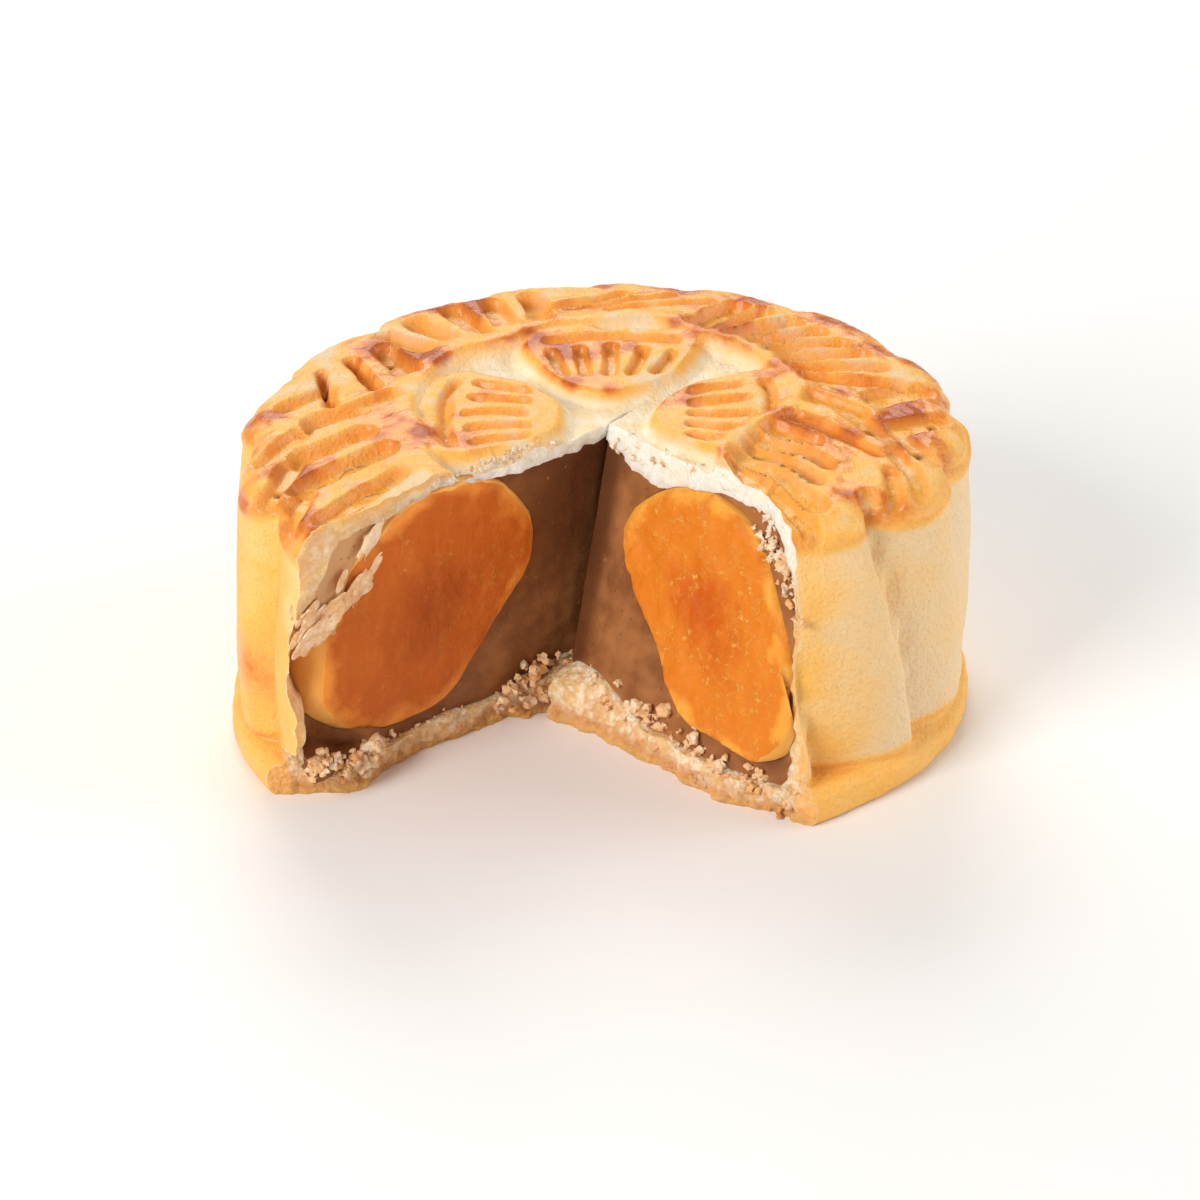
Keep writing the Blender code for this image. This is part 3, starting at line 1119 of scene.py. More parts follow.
@dataclass(frozen=True)
class Crust:
    """The baked pastry round the filling."""

    mould: Mould
    relief: Relief
    wedge: Wedge
    grid: int = 240
    cavity_rings: int = 40
    cavity_around: int = 220
    noise: Noise = field(default_factory=lambda: Noise(23))

    def top_disc(self) -> tuple[Array, Array, Array, Array]:
        """Square grid drawn onto the round top, with squares becoming rings.

        A place (u, v) of the square has run max(|u|, |v|) and a bearing that turns evenly
        along each side of its square.

        Returns:
            Bearings, runs, the quads, and the rim's vertex indices in order of bearing.
        """
        side = np.linspace(-1, 1, self.grid)
        u, v = np.meshgrid(side, side, indexing="ij")
        run = np.maximum(np.abs(u), np.abs(v))
        wide = np.abs(u) >= np.abs(v)
        safe_u = np.where(np.abs(u) < 1e-9, 1e-9, u)
        safe_v = np.where(np.abs(v) < 1e-9, 1e-9, v)
        bearing = np.where(
            wide,
            math.pi / 4 * v / safe_u + math.pi * (u < 0),
            math.pi / 2 - math.pi / 4 * u / safe_v + math.pi * (v < 0),
        )
        last = self.grid - 1
        index = np.arange(self.grid**2).reshape(self.grid, self.grid)
        rim = np.concatenate([
            index[last, :last], index[last:0:-1, last], index[0, last:0:-1], index[:last, 0]])
        bearing, run = bearing.ravel(), run.ravel()
        return bearing, run * self.mould.shoulder_run(bearing), sheet_quads(self.grid, self.grid), rim

    def lip(self, bearing: Array, height: Array) -> tuple[Array, Array]:
        """The top skin's lip, hanging over the wall in a scallop on each lobe.

        Args:
            bearing: Bearings of the places.
            height: Heights of the places.

        Returns:
            How proud the lip is, and 0 to 1 for how far a place is under it.
        """
        place = self.mould.lobe_place(bearing, height)
        middle = 4 * place * (1 - place)
        wander = 0.4 * np.sin(7 * bearing + 0.6) + 0.3 * np.sin(13 * bearing)
        edge = 31.6 - 1.5 * middle + wander
        covered = smooth(edge - 0.8, edge + 0.6, height)
        fold = bump(height, edge + 1.5, 0.45) * smooth(0.2, 0.8, middle)
        proud = 0.42 * covered * smooth(34.4, 32.6, height) - 0.3 * fold
        return proud, covered

    def side_band(self, bearing: Array, stations: Array) -> tuple[Array, Array, dict[str, Array]]:
        """Rings of the side, from the shoulder down, with the top's relief running out over them.

        Args:
            bearing: The columns' bearings.
            stations: Where the rings lie along the side's profile.

        Returns:
            The points by ring and column, how far each is raised, and the finish's values.
        """
        mould = self.mould
        radii, heights = mould.side_controls(bearing)
        radius, height = blend_rows(radii, stations), blend_rows(heights, stations)
        turn = np.broadcast_to(bearing, radius.shape)
        shoulder = mould.shoulder_run(turn)
        over = np.hypot(radius - shoulder, mould.rim_height - 0.3 - height)
        along = shoulder + np.where(height > 27, over, 99.0)
        look = self.relief.at(turn, along)
        proud, covered = self.lip(turn, height)
        fade = smooth(30.5, 33.2, height)
        solid = mould.place(turn, radius, height)
        foot = smooth(4.6, 3.4, height)
        grain = 0.10 * self.noise.octaves(solid, 6.0, 3)
        grain = grain + 0.12 * foot * self.noise.octaves(solid, 3.0, 2)
        rise = (look["rise"] * fade + proud + grain) * smooth(0.05, 0.6, height)
        values = {
            "wash": self.side_wash(turn, height, covered, look["wash"], fade),
            "pale": np.zeros_like(height),
            "pit": look["pit"] * fade,
            "hollow": look["hollow"] * fade,
        }
        return mould.place(turn, radius, height, mould.shift(along)), rise, values

    def outside(self) -> Shell:
        """The whole cake's outside, closed, with its relief.

        The top's grid has twice as many points at its rim as the foot has, so the wall changes
        over to half as many columns just below its top.

        Returns:
            The surface with the values that its finish reads.
        """
        bearing, run, quads, rim = self.top_disc()
        look = self.relief.at(bearing, run)
        points = [self.mould.place(bearing, run, self.mould.crown(run), self.mould.shift(run))]
        rises = [look["rise"]]
        values = {key: [look[key]] for key in ("wash", "pale", "pit", "hollow")}
        faces, triangles = [quads], []
        shoulder = np.linspace(1, 3.6, 18)[1:]
        lower = np.concatenate([np.linspace(3.75, 9, 38), np.linspace(9.15, 16, 28)])
        previous, used = rim, len(bearing)
        for stations, columns in ((shoulder, bearing[rim]), (lower, bearing[rim][0::2])):
            band, rise, band_values = self.side_band(columns, stations)
            points.append(band.reshape(-1, 3))
            rises.append(rise.ravel())
            for key, parts in values.items():
                parts.append(band_values[key].ravel())
            around = len(columns)
            first_ring = used + np.arange(around)
            if len(previous) == around:
                step = (previous, np.roll(previous, -1), np.roll(first_ring, -1), first_ring)
                faces.append(np.stack(step, axis=-1))
            else:
                triangles.append(halving_triangles(previous, first_ring))
            faces.append(loop_quads(len(stations), around, used))
            used += rise.size
            previous = used - around + np.arange(around)
        triangles.append(fan_triangles(previous, used))
        for parts in (rises, *values.values()):
            parts.append(np.zeros(1))
        shell = Shell(
            np.concatenate([*points, np.zeros((1, 3))]),
            np.concatenate(faces),
            np.concatenate(triangles),
            {key: np.concatenate(parts) for key, parts in values.items()},
        )
        shell.raised(np.concatenate(rises))
        shell.points[:, 2] = np.maximum(shell.points[:, 2], 0.0)
        return shell

    def side_wash(self, bearing: Array, height: Array, covered: Array, top: Array,
                  fade: Array) -> Array:
        """How browned the side is: strongly on the lip, faintly on the wall, golden at the foot.

        Args:
            bearing: Bearings of the places.
            height: Heights of the places.
            covered: 0 to 1 for how far a place is under the lip.
            top: How washed the top's pattern says that each place is.
            fade: 0 to 1 for how far the top's pattern reaches a place.

        Returns:
            Numbers from 0 to 1.
        """
        solid = self.mould.place(bearing, self.mould.outline(bearing), height)
        mottle = self.noise.octaves(solid, 9.0, 3)
        left = smooth(120, 60, np.abs(turn_between(bearing, 190)))
        right = smooth(70, 25, np.abs(turn_between(bearing, 12)))
        corner = bump(turn_between(bearing, -50), 0, 9)
        foot = smooth(5.2, 3.2, height)
        wall = 0.06 + (0.27 + 0.12 * smooth(22, 9, height)) * left + 0.24 * corner
        wall = wall + 0.2 * mottle * (0.3 + left + corner)
        wall = wall + (0.40 - wall) * foot + 0.3 * bump(height, 4.5, 0.5)
        lip = 0.74 - 0.22 * right + 0.25 * self.noise.octaves(solid + 50, 5.0, 2)
        side = wall + (lip - wall) * covered
        return np.clip(side * (1 - fade) + top * fade, 0, 1)

    def cavity(self, clearance: float = 0.0) -> Shell:
        """The space inside the crust: the outline drawn in, under a ceiling that sags and swells.

        Args:
            clearance: How much smaller it is made all round.

        Returns:
            The closed space, whose faces belong to the crumb.
        """
        bearing = np.arange(self.cavity_around) * 2 * math.pi / self.cavity_around
        thin_right = 1.1 * bump(turn_between(bearing, -54), 0, 11)
        thin_left = 1.6 * bump(turn_between(bearing, -147), 0, 6)
        wall = self.mould.outline(bearing) - self.mould.crust_wall
        wall = wall + (thin_right + thin_left) - clearance
        floor = self.mould.crust_floor + clearance
        ceiling = self.mould.height - self.mould.crust_top - clearance
        profile = (
            (0.05 * wall, floor), (0.5 * wall, floor), (wall - 1.6, floor), (wall - 0.3, floor + 1.2),
            (wall, 12.0), (wall - 0.3, ceiling - 7.5), (wall - 1.2, ceiling - 4.0),
            (wall - 3.2, ceiling - 1.2), (wall - 6.5, ceiling), (0.5 * wall, ceiling),
            (0.05 * wall, ceiling),
        )
        radii = np.stack([radius for radius, _ in profile])
        heights = np.stack([np.full_like(wall, height) for _, height in profile])
        stations = np.linspace(0, len(profile) - 1, self.cavity_rings)
        radius, height = blend_rows(radii, stations), blend_rows(heights, stations)
        turn = np.broadcast_to(bearing, radius.shape)
        rings = self.mould.place(turn, radius - self.mould.inset(turn, height), height)
        near_tip, above_left, ledge = (
            bump(np.linalg.norm(rings[..., :2] - middle, axis=-1), 0, spread)
            for middle, spread in (((3.5, -5.0), 5.5), ((-16.0, -6.0), 9.0), ((0.0, -1.0), 5.5))
        )
        upper = smooth(20, 30, rings[..., 2])
        rings[..., 2] += upper * (0.7 * above_left - 3.8 * near_tip) + (1 - upper) * 3.6 * ledge
        shell = capped_tube(rings, np.array([[0, 0, floor], [0, 0, ceiling]]))
        lumps = 0.42 * self.noise.octaves(shell.points, 5.0, 4, 0.6)
        lumps[-2:] = 0
        return shell.raised(lumps)

    def roughness(self, _: CutFace, points: Array) -> Array:
        """Crumb of the cut: ragged lumps with pores, ragged most where the dough tore.

        Args:
            points: Places on the cut, in millimetres.

        Returns:
            Millimetres that each place stands proud.
        """
        low = smooth(8, 5, points[..., 2])
        near_tip = bump(np.linalg.norm(points[..., :2] - (-4, 1), axis=-1), 0, 6)
        return crumble(self.noise, points) * (0.8 + 0.6 * low) + low * (0.2 + 2.2 * near_tip)

    def build(self, yolks: list[Shell]) -> bpy.types.Object:
        """Make the crust and cut it.

        Args:
            yolks: Closed surfaces of the yolks, which leave their pockets in it.

        Returns:
            The crust.
        """
        piece = self.outside().piece("crust_baked")
        gone = [
            TORN_CORNER.cutter(self.noise, 0.6),
            BROKEN_FOOT.cutter(self.noise, 0.9),
            TOP_CHIP.shell(self.noise, 0.9, 80),
        ]
        cut(piece, [self.cavity(), self.wedge.cutter(self.roughness), *gone, *yolks])
        points = place_of(piece.data)
        store_values(piece.data, "depth", self.depth(points))
        # The crumb is tanned towards the left; the same value on the paste is painted light.
        store_values(piece.data, "toast", smooth(-12, -24, points[:, 0]))
        shade_smooth(piece, 50)
        return piece

    def depth(self, points: Array) -> Array:
        """Depth of points below the outer skin.

        Args:
            points: Places in millimetres.

        Returns:
            Millimetres below the wall, the top or the floor, whichever is nearest.
        """
        bearing = np.arctan2(points[:, 1], points[:, 0])
        radius = np.hypot(points[:, 0], points[:, 1])
        wall = self.mould.wall_radius(bearing, points[:, 2]) - radius
        top = self.mould.crown(radius) - points[:, 2]
        return np.minimum(np.minimum(wall, top), points[:, 2])


@dataclass(frozen=True)
class Yolk:
    """A salted egg yolk, cut through.

    The outline is drawn on the cut face, as distance along it and height.
    """

    name: str
    face: CutFace
    outline: tuple[Pair, ...]
    middle: Pair
    behind: float
    thickness: float
    proud: float
    grain: float
    ceiling: float = 32.8
    skin: float = 0.9
    rings: int = 90
    around: int = 160
    noise: Noise = field(default_factory=lambda: Noise(37))

    @property
    def centre(self) -> Array:
        """The outline's middle, on the cut face."""
        return self.face.point(*map(np.array, self.middle))

    @property
    def spread(self) -> float:
        """Size of the section at the cut against the widest one behind it."""
        return math.sqrt(1 - (self.behind / self.thickness) ** 2)

    def rim(self, turn: Array) -> Array:
        """Distance from the middle to the outline in each direction on the cut face.

        Args:
            turn: Directions in radians from the face's run.

        Returns:
            Millimetres.
        """
        curve = closed_curve(np.array(self.outline, float), 240) - np.array(self.middle)
        bearing = np.arctan2(curve[:, 1], curve[:, 0])
        order = np.argsort(bearing)
        reach = np.linalg.norm(curve, axis=1)[order]
        return np.interp(turn, bearing[order], reach, period=2 * math.pi)

    def whole(self, clearance: float = 0.0) -> Shell:
        """The yolk before it is cut: the outline swelling and shrinking as an egg does.

        At a polar angle p its depth is the thickness times cos p, and its outline is the widest
        one times sin p. It is kept under the crust's skin.

        Args:
            clearance: How much larger it is made all round.

        Returns:
            The closed yolk.
        """
        polar = np.linspace(0, math.pi, self.rings + 2)[1:-1, None]
        turn = np.arange(self.around)[None, :] * 2 * math.pi / self.around
        radius = (self.rim(turn) / self.spread + clearance) * np.sin(polar)
        thickness = self.thickness + clearance
        local = np.stack(np.broadcast_arrays(
            radius * np.cos(turn), radius * np.sin(turn), thickness * np.cos(polar)), axis=-1)
        shell = capped_tube(local, np.array([[0, 0, thickness], [0, 0, -thickness]]), Layer.SKIN)
        axes = self.face.axes()
        shell.points = self.centre - self.behind * axes[2] + shell.points @ axes
        uneven = 0.25 * self.noise.octaves(shell.points, 7.0, 3)
        uneven[-2:] = 0
        shell.raised(uneven)
        shell.points[:, 2] = np.minimum(shell.points[:, 2], self.ceiling + clearance)
        plan = shell.points[:, :2]
        bearing = np.arctan2(plan[:, 1], plan[:, 0])
        wall = MOULD.wall_radius(bearing, shell.points[:, 2]) - self.skin + clearance
        shell.points[:, :2] = plan * np.minimum(1, wall / np.linalg.norm(plan, axis=1))[:, None]
        return shell

    def share(self, points: Array) -> Array:
        """How far points on the face are from the yolk's middle.

        Args:
            points: Places in millimetres.

        Returns:
            0 in the middle and 1 at the outline.
        """
        local = (points - self.centre) @ self.face.axes().T
        turn = np.arctan2(local[..., 1], local[..., 0])
        return np.hypot(local[..., 0], local[..., 1]) / self.rim(turn)

    def roughness(self, face: CutFace, points: Array) -> Array:
        """The yolk's cut: proud of the filling, worn down at its edge, with fine grains.

        Args:
            face: The face of the wedge.
            points: Places on it, in millimetres.

        Returns:
            Millimetres that each place stands proud.
        """
        share = self.share(points)
        along, up = self.middle
        run = (points[..., :2] - face.start) @ face.along
        slope = (face.lean[1] - face.lean[0]) / face.lean_height
        flat = face.offset(np.array(along), np.array(up)) + slope * (points[..., 2] - up)
        straight = (flat - face.offset(run, points[..., 2])) * smooth(1.6, 1.2, share)
        worn = self.proud * smooth(0.92, 1.03, share)
        swell = 0.45 * self.noise.octaves(points, 8.0, 2)
        fine = self.noise.octaves(points, 2.6, 3) + 0.7 * (0.6 - self.noise.grains(points, 1.1))
        return self.proud - worn + straight + self.grain * (swell + 0.4 * fine)

    def build(self, wedge: Wedge) -> bpy.types.Object:
        """Make the halved yolk.

        Args:
            wedge: The wedge that halves it.

        Returns:
            The yolk.
        """
        piece = self.whole().piece(self.name)
        cut(piece, [wedge.cutter(self.roughness)])
        store_values(piece.data, "share", self.share(place_of(piece.data)))
        shade_smooth(piece, 45)
        return piece


LEFT_YOLK = Yolk(
    name="yolk_half_left",
    face=LEFT_FACE,
    outline=((32.6, 12.2), (32.2, 16.5), (31.9, 21.0), (30.0, 25.6), (26.6, 29.6), (21.5, 32.5),
             (15.1, 32.8), (9.8, 30.2), (6.0, 25.4), (5.7, 20.2), (8.7, 15.6), (12.5, 10.2),
             (16.5, 5.9), (21.9, 4.8), (27.1, 5.7), (30.8, 8.6)),
    middle=(18.9, 18.8),
    behind=4.8,
    thickness=10.4,
    proud=0.4,
    grain=0.35,
)
RIGHT_YOLK = Yolk(
    name="yolk_half_right",
    face=RIGHT_FACE,
    outline=((2.2, 22.6), (5.2, 27.8), (10.0, 30.5), (15.7, 30.9), (20.6, 29.2), (23.8, 26.0),
             (26.9, 21.4), (29.0, 16.6), (29.9, 12.0), (29.2, 8.0), (26.4, 5.6), (21.5, 5.5),
             (16.0, 6.0), (12.8, 8.6), (9.0, 13.5), (4.9, 17.4)),
    middle=(17.0, 18.0),
    behind=1.0,
    thickness=10.0,
    proud=0.9,
    grain=0.8,
)


@dataclass(frozen=True)
class Filling:
    """Lotus paste, cut smooth."""

    crust: Crust
    wedge: Wedge
    noise: Noise = field(default_factory=lambda: Noise(41))

    def roughness(self, _: CutFace, points: Array) -> Array:
        """The knife's cut: smooth, with long shallow drags and a slight sag."""
        drag = points * np.array([1.0, 1.0, 0.25])
        return -0.35 + 0.16 * self.noise.octaves(drag, 5.0, 3) + 0.03 * self.noise.at(points, 0.9)

    def build(self, yolks: list[Shell]) -> bpy.types.Object:
        """Make the filling and cut it.

        Args:
            yolks: Closed surfaces of the yolks, which leave their pockets in it.

        Returns:
            The filling.
        """
        piece = self.crust.cavity(0.06).piece("lotus_paste")
        corner = PASTE_CORNER.cutter(self.noise, 0.5)
        cut(piece, [self.wedge.cutter(self.roughness), corner, *yolks])
        points = place_of(piece.data)
        # Painted shade: the paste on the left face is darkened next to the slit, where the narrow wedge
        # lies in shade.
        run = (points[:, :2] - LEFT_FACE.start) @ LEFT_FACE.along
        away = np.abs((points[:, :2] - LEFT_FACE.start) @ LEFT_FACE.into_gap)
        damp = smooth(13, 0, run) * (0.7 + 0.15 * smooth(4, 22, points[:, 2])) * smooth(3, 1, away)
        # Painted light: the paste high up at the torn corner on the left is lightened where light falls
        # on it.
        toast = smooth(-17, -22, points[:, 0]) * smooth(13, 18, points[:, 2])
        store_values(piece.data, "damp", damp)
        store_values(piece.data, "toast", toast)
        shade_smooth(piece, 40)
        return piece


@dataclass(frozen=True)
class Scatter:
    """Crumbs along a stretch of a cut face: its ends as distance and height, and their sizes."""

    face: CutFace
    start: Pair
    end: Pair
    spread: Pair
    proud: Pair
    size: Pair
    count: int
    lowest: float = 0.35

    def lumps(self, draw: np.random.Generator) -> list[Lump]:
        """Place the crumbs at random along the stretch, more of them small than large.

        Args:
            draw: The source of chance.

        Returns:
            The crumbs.
        """
        share = draw.random(self.count)
        run, rise = (
            np.interp(share, (0, 1), ends) + spread * draw.normal(size=self.count)
            for ends, spread in zip(zip(self.start, self.end), self.spread)
        )
        rise = np.maximum(rise, self.lowest)
        middles = self.face.point(run, rise, draw.uniform(*self.proud, self.count))
        small, large = self.size
        lumps = []
        for middle in middles:
            radius = small + (large - small) * draw.random() ** 2
            half = tuple(radius * draw.uniform(0.6, 1.2, 3))
            bearing, tip, roll = (draw.uniform(0, 360) for _ in range(3))
            lumps.append(Lump(middle, bearing, half, tip, roll))
        return lumps


STRETCHES = (
    Scatter(LEFT_FACE, (34.0, 4.6), (26.0, 3.0), (1.3, 0.9), (-1.2, 0.5), (0.35, 1.0), 60),
    Scatter(LEFT_FACE, (24.0, 3.0), (10.0, 3.0), (2.0, 0.6), (-0.7, 0.0), (0.2, 0.5), 30),
    Scatter(LEFT_FACE, (9.5, 3.0), (0.0, 4.0), (1.0, 1.2), (0.0, 2.0), (0.35, 1.0), 60),
    Scatter(LEFT_FACE, (4.0, 33.4), (20.0, 34.0), (1.0, 0.4), (-0.5, 0.1), (0.12, 0.32), 60),
    Scatter(RIGHT_FACE, (0.0, 4.5), (30.0, 2.0), (1.0, 1.3), (-0.6, 0.3), (0.3, 0.85), 90),
    Scatter(RIGHT_FACE, (0.0, 31.0), (15.0, 33.0), (1.0, 0.6), (-0.5, 0.1), (0.15, 0.5), 50),
    Scatter(RIGHT_FACE, (20.0, 31.0), (30.0, 24.0), (0.7, 0.9), (-0.5, 0.1), (0.25, 0.8), 50),
)


@dataclass(frozen=True)
class Crumbs:
    """Loose lumps of pastry that cling to the cut."""

    stretches: tuple[Scatter, ...] = STRETCHES
    rings: int = 6
    uneven: float = 0.9
    lowest: float = 0.02
    baked: Pair = (0.2, 2.6)
    noise: Noise = field(default_factory=lambda: Noise(53))

    def build(self) -> bpy.types.Object:
        """Make every crumb and join them.

        Returns:
            The crumbs, as one piece.
        """
        draw = np.random.default_rng(9)
        lumps = [lump for stretch in self.stretches for lump in stretch.lumps(draw)]
        shells = [lump.shell(self.noise, self.uneven * max(lump.half), self.rings) for lump in lumps]
        heap = joined(shells)
        heap.points[:, 2] = np.maximum(heap.points[:, 2], self.lowest)
        piece = heap.piece("clinging_crumbs")
        baked = np.repeat(draw.uniform(*self.baked, len(shells)), len(shells[0].points))
        store_values(piece.data, "depth", baked)
        shade_smooth(piece, 80)
        return piece


@dataclass(frozen=True)
class Flakes:
    """Thin torn layers of pastry at the broken corner of the left half.

    A pair holds the limits of a size that varies; half has those of the length, width and
    thickness, each halved.
    """

    count: int = 40
    run: Pair = (25.0, 36.0)
    top: float = 32.0
    fall: float = 0.6
    drop: Pair = (0.0, 6.0)
    proud: Pair = (-1.0, 0.3)
    half: tuple[Pair, Pair, Pair] = ((1.3, 3.0), (0.5, 1.2), (0.10, 0.2))
    tip: Pair = (35.0, 60.0)
    roll: float = 84.0
    swing: float = 12.0
    uneven: float = 0.26
    rings: int = 20
    baked: Pair = (0.6, 2.6)
    noise: Noise = field(default_factory=lambda: Noise(59))

    def build(self) -> bpy.types.Object:
        """Make every flake and join them.

        Returns:
            The flakes, as one piece.
        """
        draw = np.random.default_rng(12)
        run = draw.uniform(*self.run, self.count)
        rise = self.top - (run - self.run[0]) * self.fall - draw.uniform(*self.drop, self.count)
        middles = LEFT_FACE.point(run, rise, draw.uniform(*self.proud, self.count))
        shells = []
        for middle in middles:
            half = tuple(draw.uniform(*limits) for limits in self.half)
            bearing = LEFT_FACE.bearing + draw.normal() * self.swing
            tip = draw.uniform(*self.tip)
            roll = self.roll + draw.normal() * self.swing
            flake = Lump(middle, bearing, half, tip, roll)
            shells.append(flake.shell(self.noise, self.uneven, self.rings))
        piece = joined(shells).piece("torn_flakes")
        baked = np.repeat(draw.uniform(*self.baked, self.count), len(shells[0].points))
        store_values(piece.data, "depth", baked)
        shade_smooth(piece, 80)
        return piece


# ---------------------------------------------------------------------------------------------
# Finishes
# ---------------------------------------------------------------------------------------------


def seen(red: int, green: int, blue: int) -> Colour:
    """Linear colour of a tone given as it looks, from 0 to 255."""
    shares = (value / 255 for value in (red, green, blue))
    return tuple(s / 12.92 if s <= 0.04045 else ((s + 0.055) / 1.055) ** 2.4 for s in shares)


class Signal:
    """One number that varies over a surface, used in plain arithmetic."""

    def __init__(self, shader: "Shader", socket: bpy.types.NodeSocket) -> None:
        """Wrap an output socket."""
        self.shader = shader
        self.socket = socket

    def _maths(self, operation: str, *values: "Signal | float") -> "Signal":
        """Result of a Math node on some values."""
        node = self.shader.node("ShaderNodeMath", {"operation": operation}, dict(enumerate(values)))
        return Signal(self.shader, node.outputs[0])

    def __add__(self, other: "Signal | float") -> "Signal":
        """Sum."""
        return self._maths("ADD", self, other)

    def __mul__(self, other: "Signal | float") -> "Signal":
        """Product."""
        return self._maths("MULTIPLY", self, other)

    def __sub__(self, other: "Signal | float") -> "Signal":
        """Difference."""
        return self._maths("SUBTRACT", self, other)

    def __rsub__(self, other: float) -> "Signal":
        """Difference the other way round."""
        return self._maths("SUBTRACT", other, self)

    __radd__ = __add__
    __rmul__ = __mul__

    def between(self, low: float, high: float) -> "Signal":
        """Smooth rise from 0 to 1.

        Args:
            low: Where it starts; above high for a fall.
            high: Where it ends.

        Returns:
            The stepped signal.
        """
        settings = {"interpolation_type": "SMOOTHSTEP"}
        sockets = {"Value": self, "From Min": low, "From Max": high}
        node = self.shader.node("ShaderNodeMapRange", settings, sockets)
        return Signal(self.shader, node.outputs["Result"])


Number = Signal | float
Tint = Colour | bpy.types.NodeSocket


class Shader:
    """A material's nodes, made one call at a time.

    The numbers are those of a Mix node's colour sockets, whose names it uses more than once.
    """

    MIX_FIRST, MIX_SECOND, MIX_RESULT = 6, 7, 2

    def __init__(self, name: str, **constants: float | Colour) -> None:
        """Start a Principled material.

        Args:
            name: The material's name.
            constants: Values of the Principled shader's own sockets, with _ for each space.
        """
        self.material = bpy.data.materials.new(name)
        self.material.use_nodes = True
        self.tree = self.material.node_tree
        self.surface = self.tree.nodes["Principled BSDF"]
        for key, value in constants.items():
            self.surface.inputs[key.replace("_", " ")].default_value = value
        self.place = self.node("ShaderNodeTexCoord").outputs["Object"]

    def node(self, kind: str, settings: dict[str, object] | None = None,
             sockets: dict[str | int, object] | None = None) -> bpy.types.Node:
        """Make a node.

        Args:
            kind: The node's type.
            settings: Its properties, set first; "stops" are a colour ramp's.
            sockets: Values or links of its input sockets, by name or number.

        Returns:
            The node.
        """
        node = self.tree.nodes.new(kind)
        for key, value in (settings or {}).items():
            if key == "stops":
                self._set_stops(node.color_ramp, value)
            else:
                setattr(node, key, value)
        for key, value in (sockets or {}).items():
            self.feed(node.inputs[key], value)
        return node

    def feed(self, socket: bpy.types.NodeSocket, value: Number | Tint) -> None:
        """Give a socket a link or a constant.

        Args:
            socket: The input socket.
            value: A signal, an output socket, a number or a colour.
        """
        if isinstance(value, Signal):
            value = value.socket
        if isinstance(value, bpy.types.NodeSocket):
            self.tree.links.new(value, socket)
        elif isinstance(value, tuple) and len(value) == 3 and socket.type == "RGBA":
            socket.default_value = (*value, 1.0)
        else:
            socket.default_value = value

    @staticmethod
    def _set_stops(ramp: bpy.types.ColorRamp, stops: tuple[tuple[float, Colour], ...]) -> None:
        """Set a ramp's stops.

        Args:
            ramp: The ramp.
            stops: Positions with their colours.
        """
        while len(ramp.elements) < len(stops):
            ramp.elements.new(1.0)
        for element, (position, colour) in zip(ramp.elements, stops):
            element.position = position
            element.color = (*colour, 1.0)

    def value(self, key: str) -> Signal:
        """A value stored at the piece's points."""
        settings = {"attribute_name": key, "attribute_type": "GEOMETRY"}
        return Signal(self, self.node("ShaderNodeAttribute", settings).outputs["Fac"])

    def noise(self, size: float, detail: float = 3.0, rough: float = 0.55, tall: float = 1.0) -> Signal:
        """Noise from 0 to 1.

        Args:
            size: Size of its features in millimetres.
            detail: How many finer noises are laid over it.
            rough: How strong they are.
            tall: How quickly it changes upwards against across; under 1 draws it out upright.

        Returns:
            The noise.
        """
        drawn = self.node("ShaderNodeMapping", {}, {"Vector": self.place, "Scale": (1, 1, tall)})
        sockets = {"Vector": drawn.outputs[0], "Scale": 1 / (size * MM)}
        sockets |= {"Detail": detail, "Roughness": rough}
        return Signal(self, self.node("ShaderNodeTexNoise", {}, sockets).outputs["Fac"])

    def grains(self, size: float) -> Signal:
        """Grains of a size in millimetres: 0 in their middles, about 0.6 between them."""
        sockets = {"Vector": self.place, "Scale": 1 / (size * MM)}
        return Signal(self, self.node("ShaderNodeTexVoronoi", {}, sockets).outputs["Distance"])

    def specks(self, size: float, reach: float) -> Signal:
        """Scattered round specks: 1 in their middles, on a lattice of a size in millimetres."""
        return self.grains(size).between(reach, reach * 0.4)

    @property
    def height(self) -> Signal:
        """Height over the plate in millimetres."""
        parts = self.node("ShaderNodeSeparateXYZ", {}, {"Vector": self.place})
        return Signal(self, parts.outputs["Z"]) * (1 / MM)

    def ramp(self, value: Signal, *stops: tuple[float, Colour]) -> bpy.types.NodeSocket:
        """Colour read from a ramp."""
        return self.node("ShaderNodeValToRGB", {"stops": stops}, {"Fac": value}).outputs["Color"]

    def mix(self, share: Number, first: Tint, second: Tint) -> bpy.types.NodeSocket:
        """Colour between two colours.

        Args:
            share: 0 for the first, 1 for the second.
            first: The colour mixed into.
            second: The colour mixed in.

        Returns:
            The mixed colour.
        """
        sockets = {"Factor": share, self.MIX_FIRST: first, self.MIX_SECOND: second}
        node = self.node("ShaderNodeMix", {"data_type": "RGBA"}, sockets)
        return node.outputs[self.MIX_RESULT]

    def finish(self, colour: Tint, roughness: Number, height: Signal,
               depth_mm: float) -> bpy.types.Material:
        """Feed the surface and its bump.

        Args:
            colour: Base colour.
            roughness: Roughness.
            height: What the bump reads.
            depth_mm: How deep a bump of 1 is, in millimetres.

        Returns:
            The finished material.
        """
        self.feed(self.surface.inputs["Base Color"], colour)
        self.feed(self.surface.inputs["Roughness"], roughness)
        sockets = {"Height": height, "Distance": depth_mm * MM, "Strength": 1.0}
        bumped = self.node("ShaderNodeBump", {}, sockets)
        self.feed(self.surface.inputs["Normal"], bumped.outputs["Normal"])
        return self.material


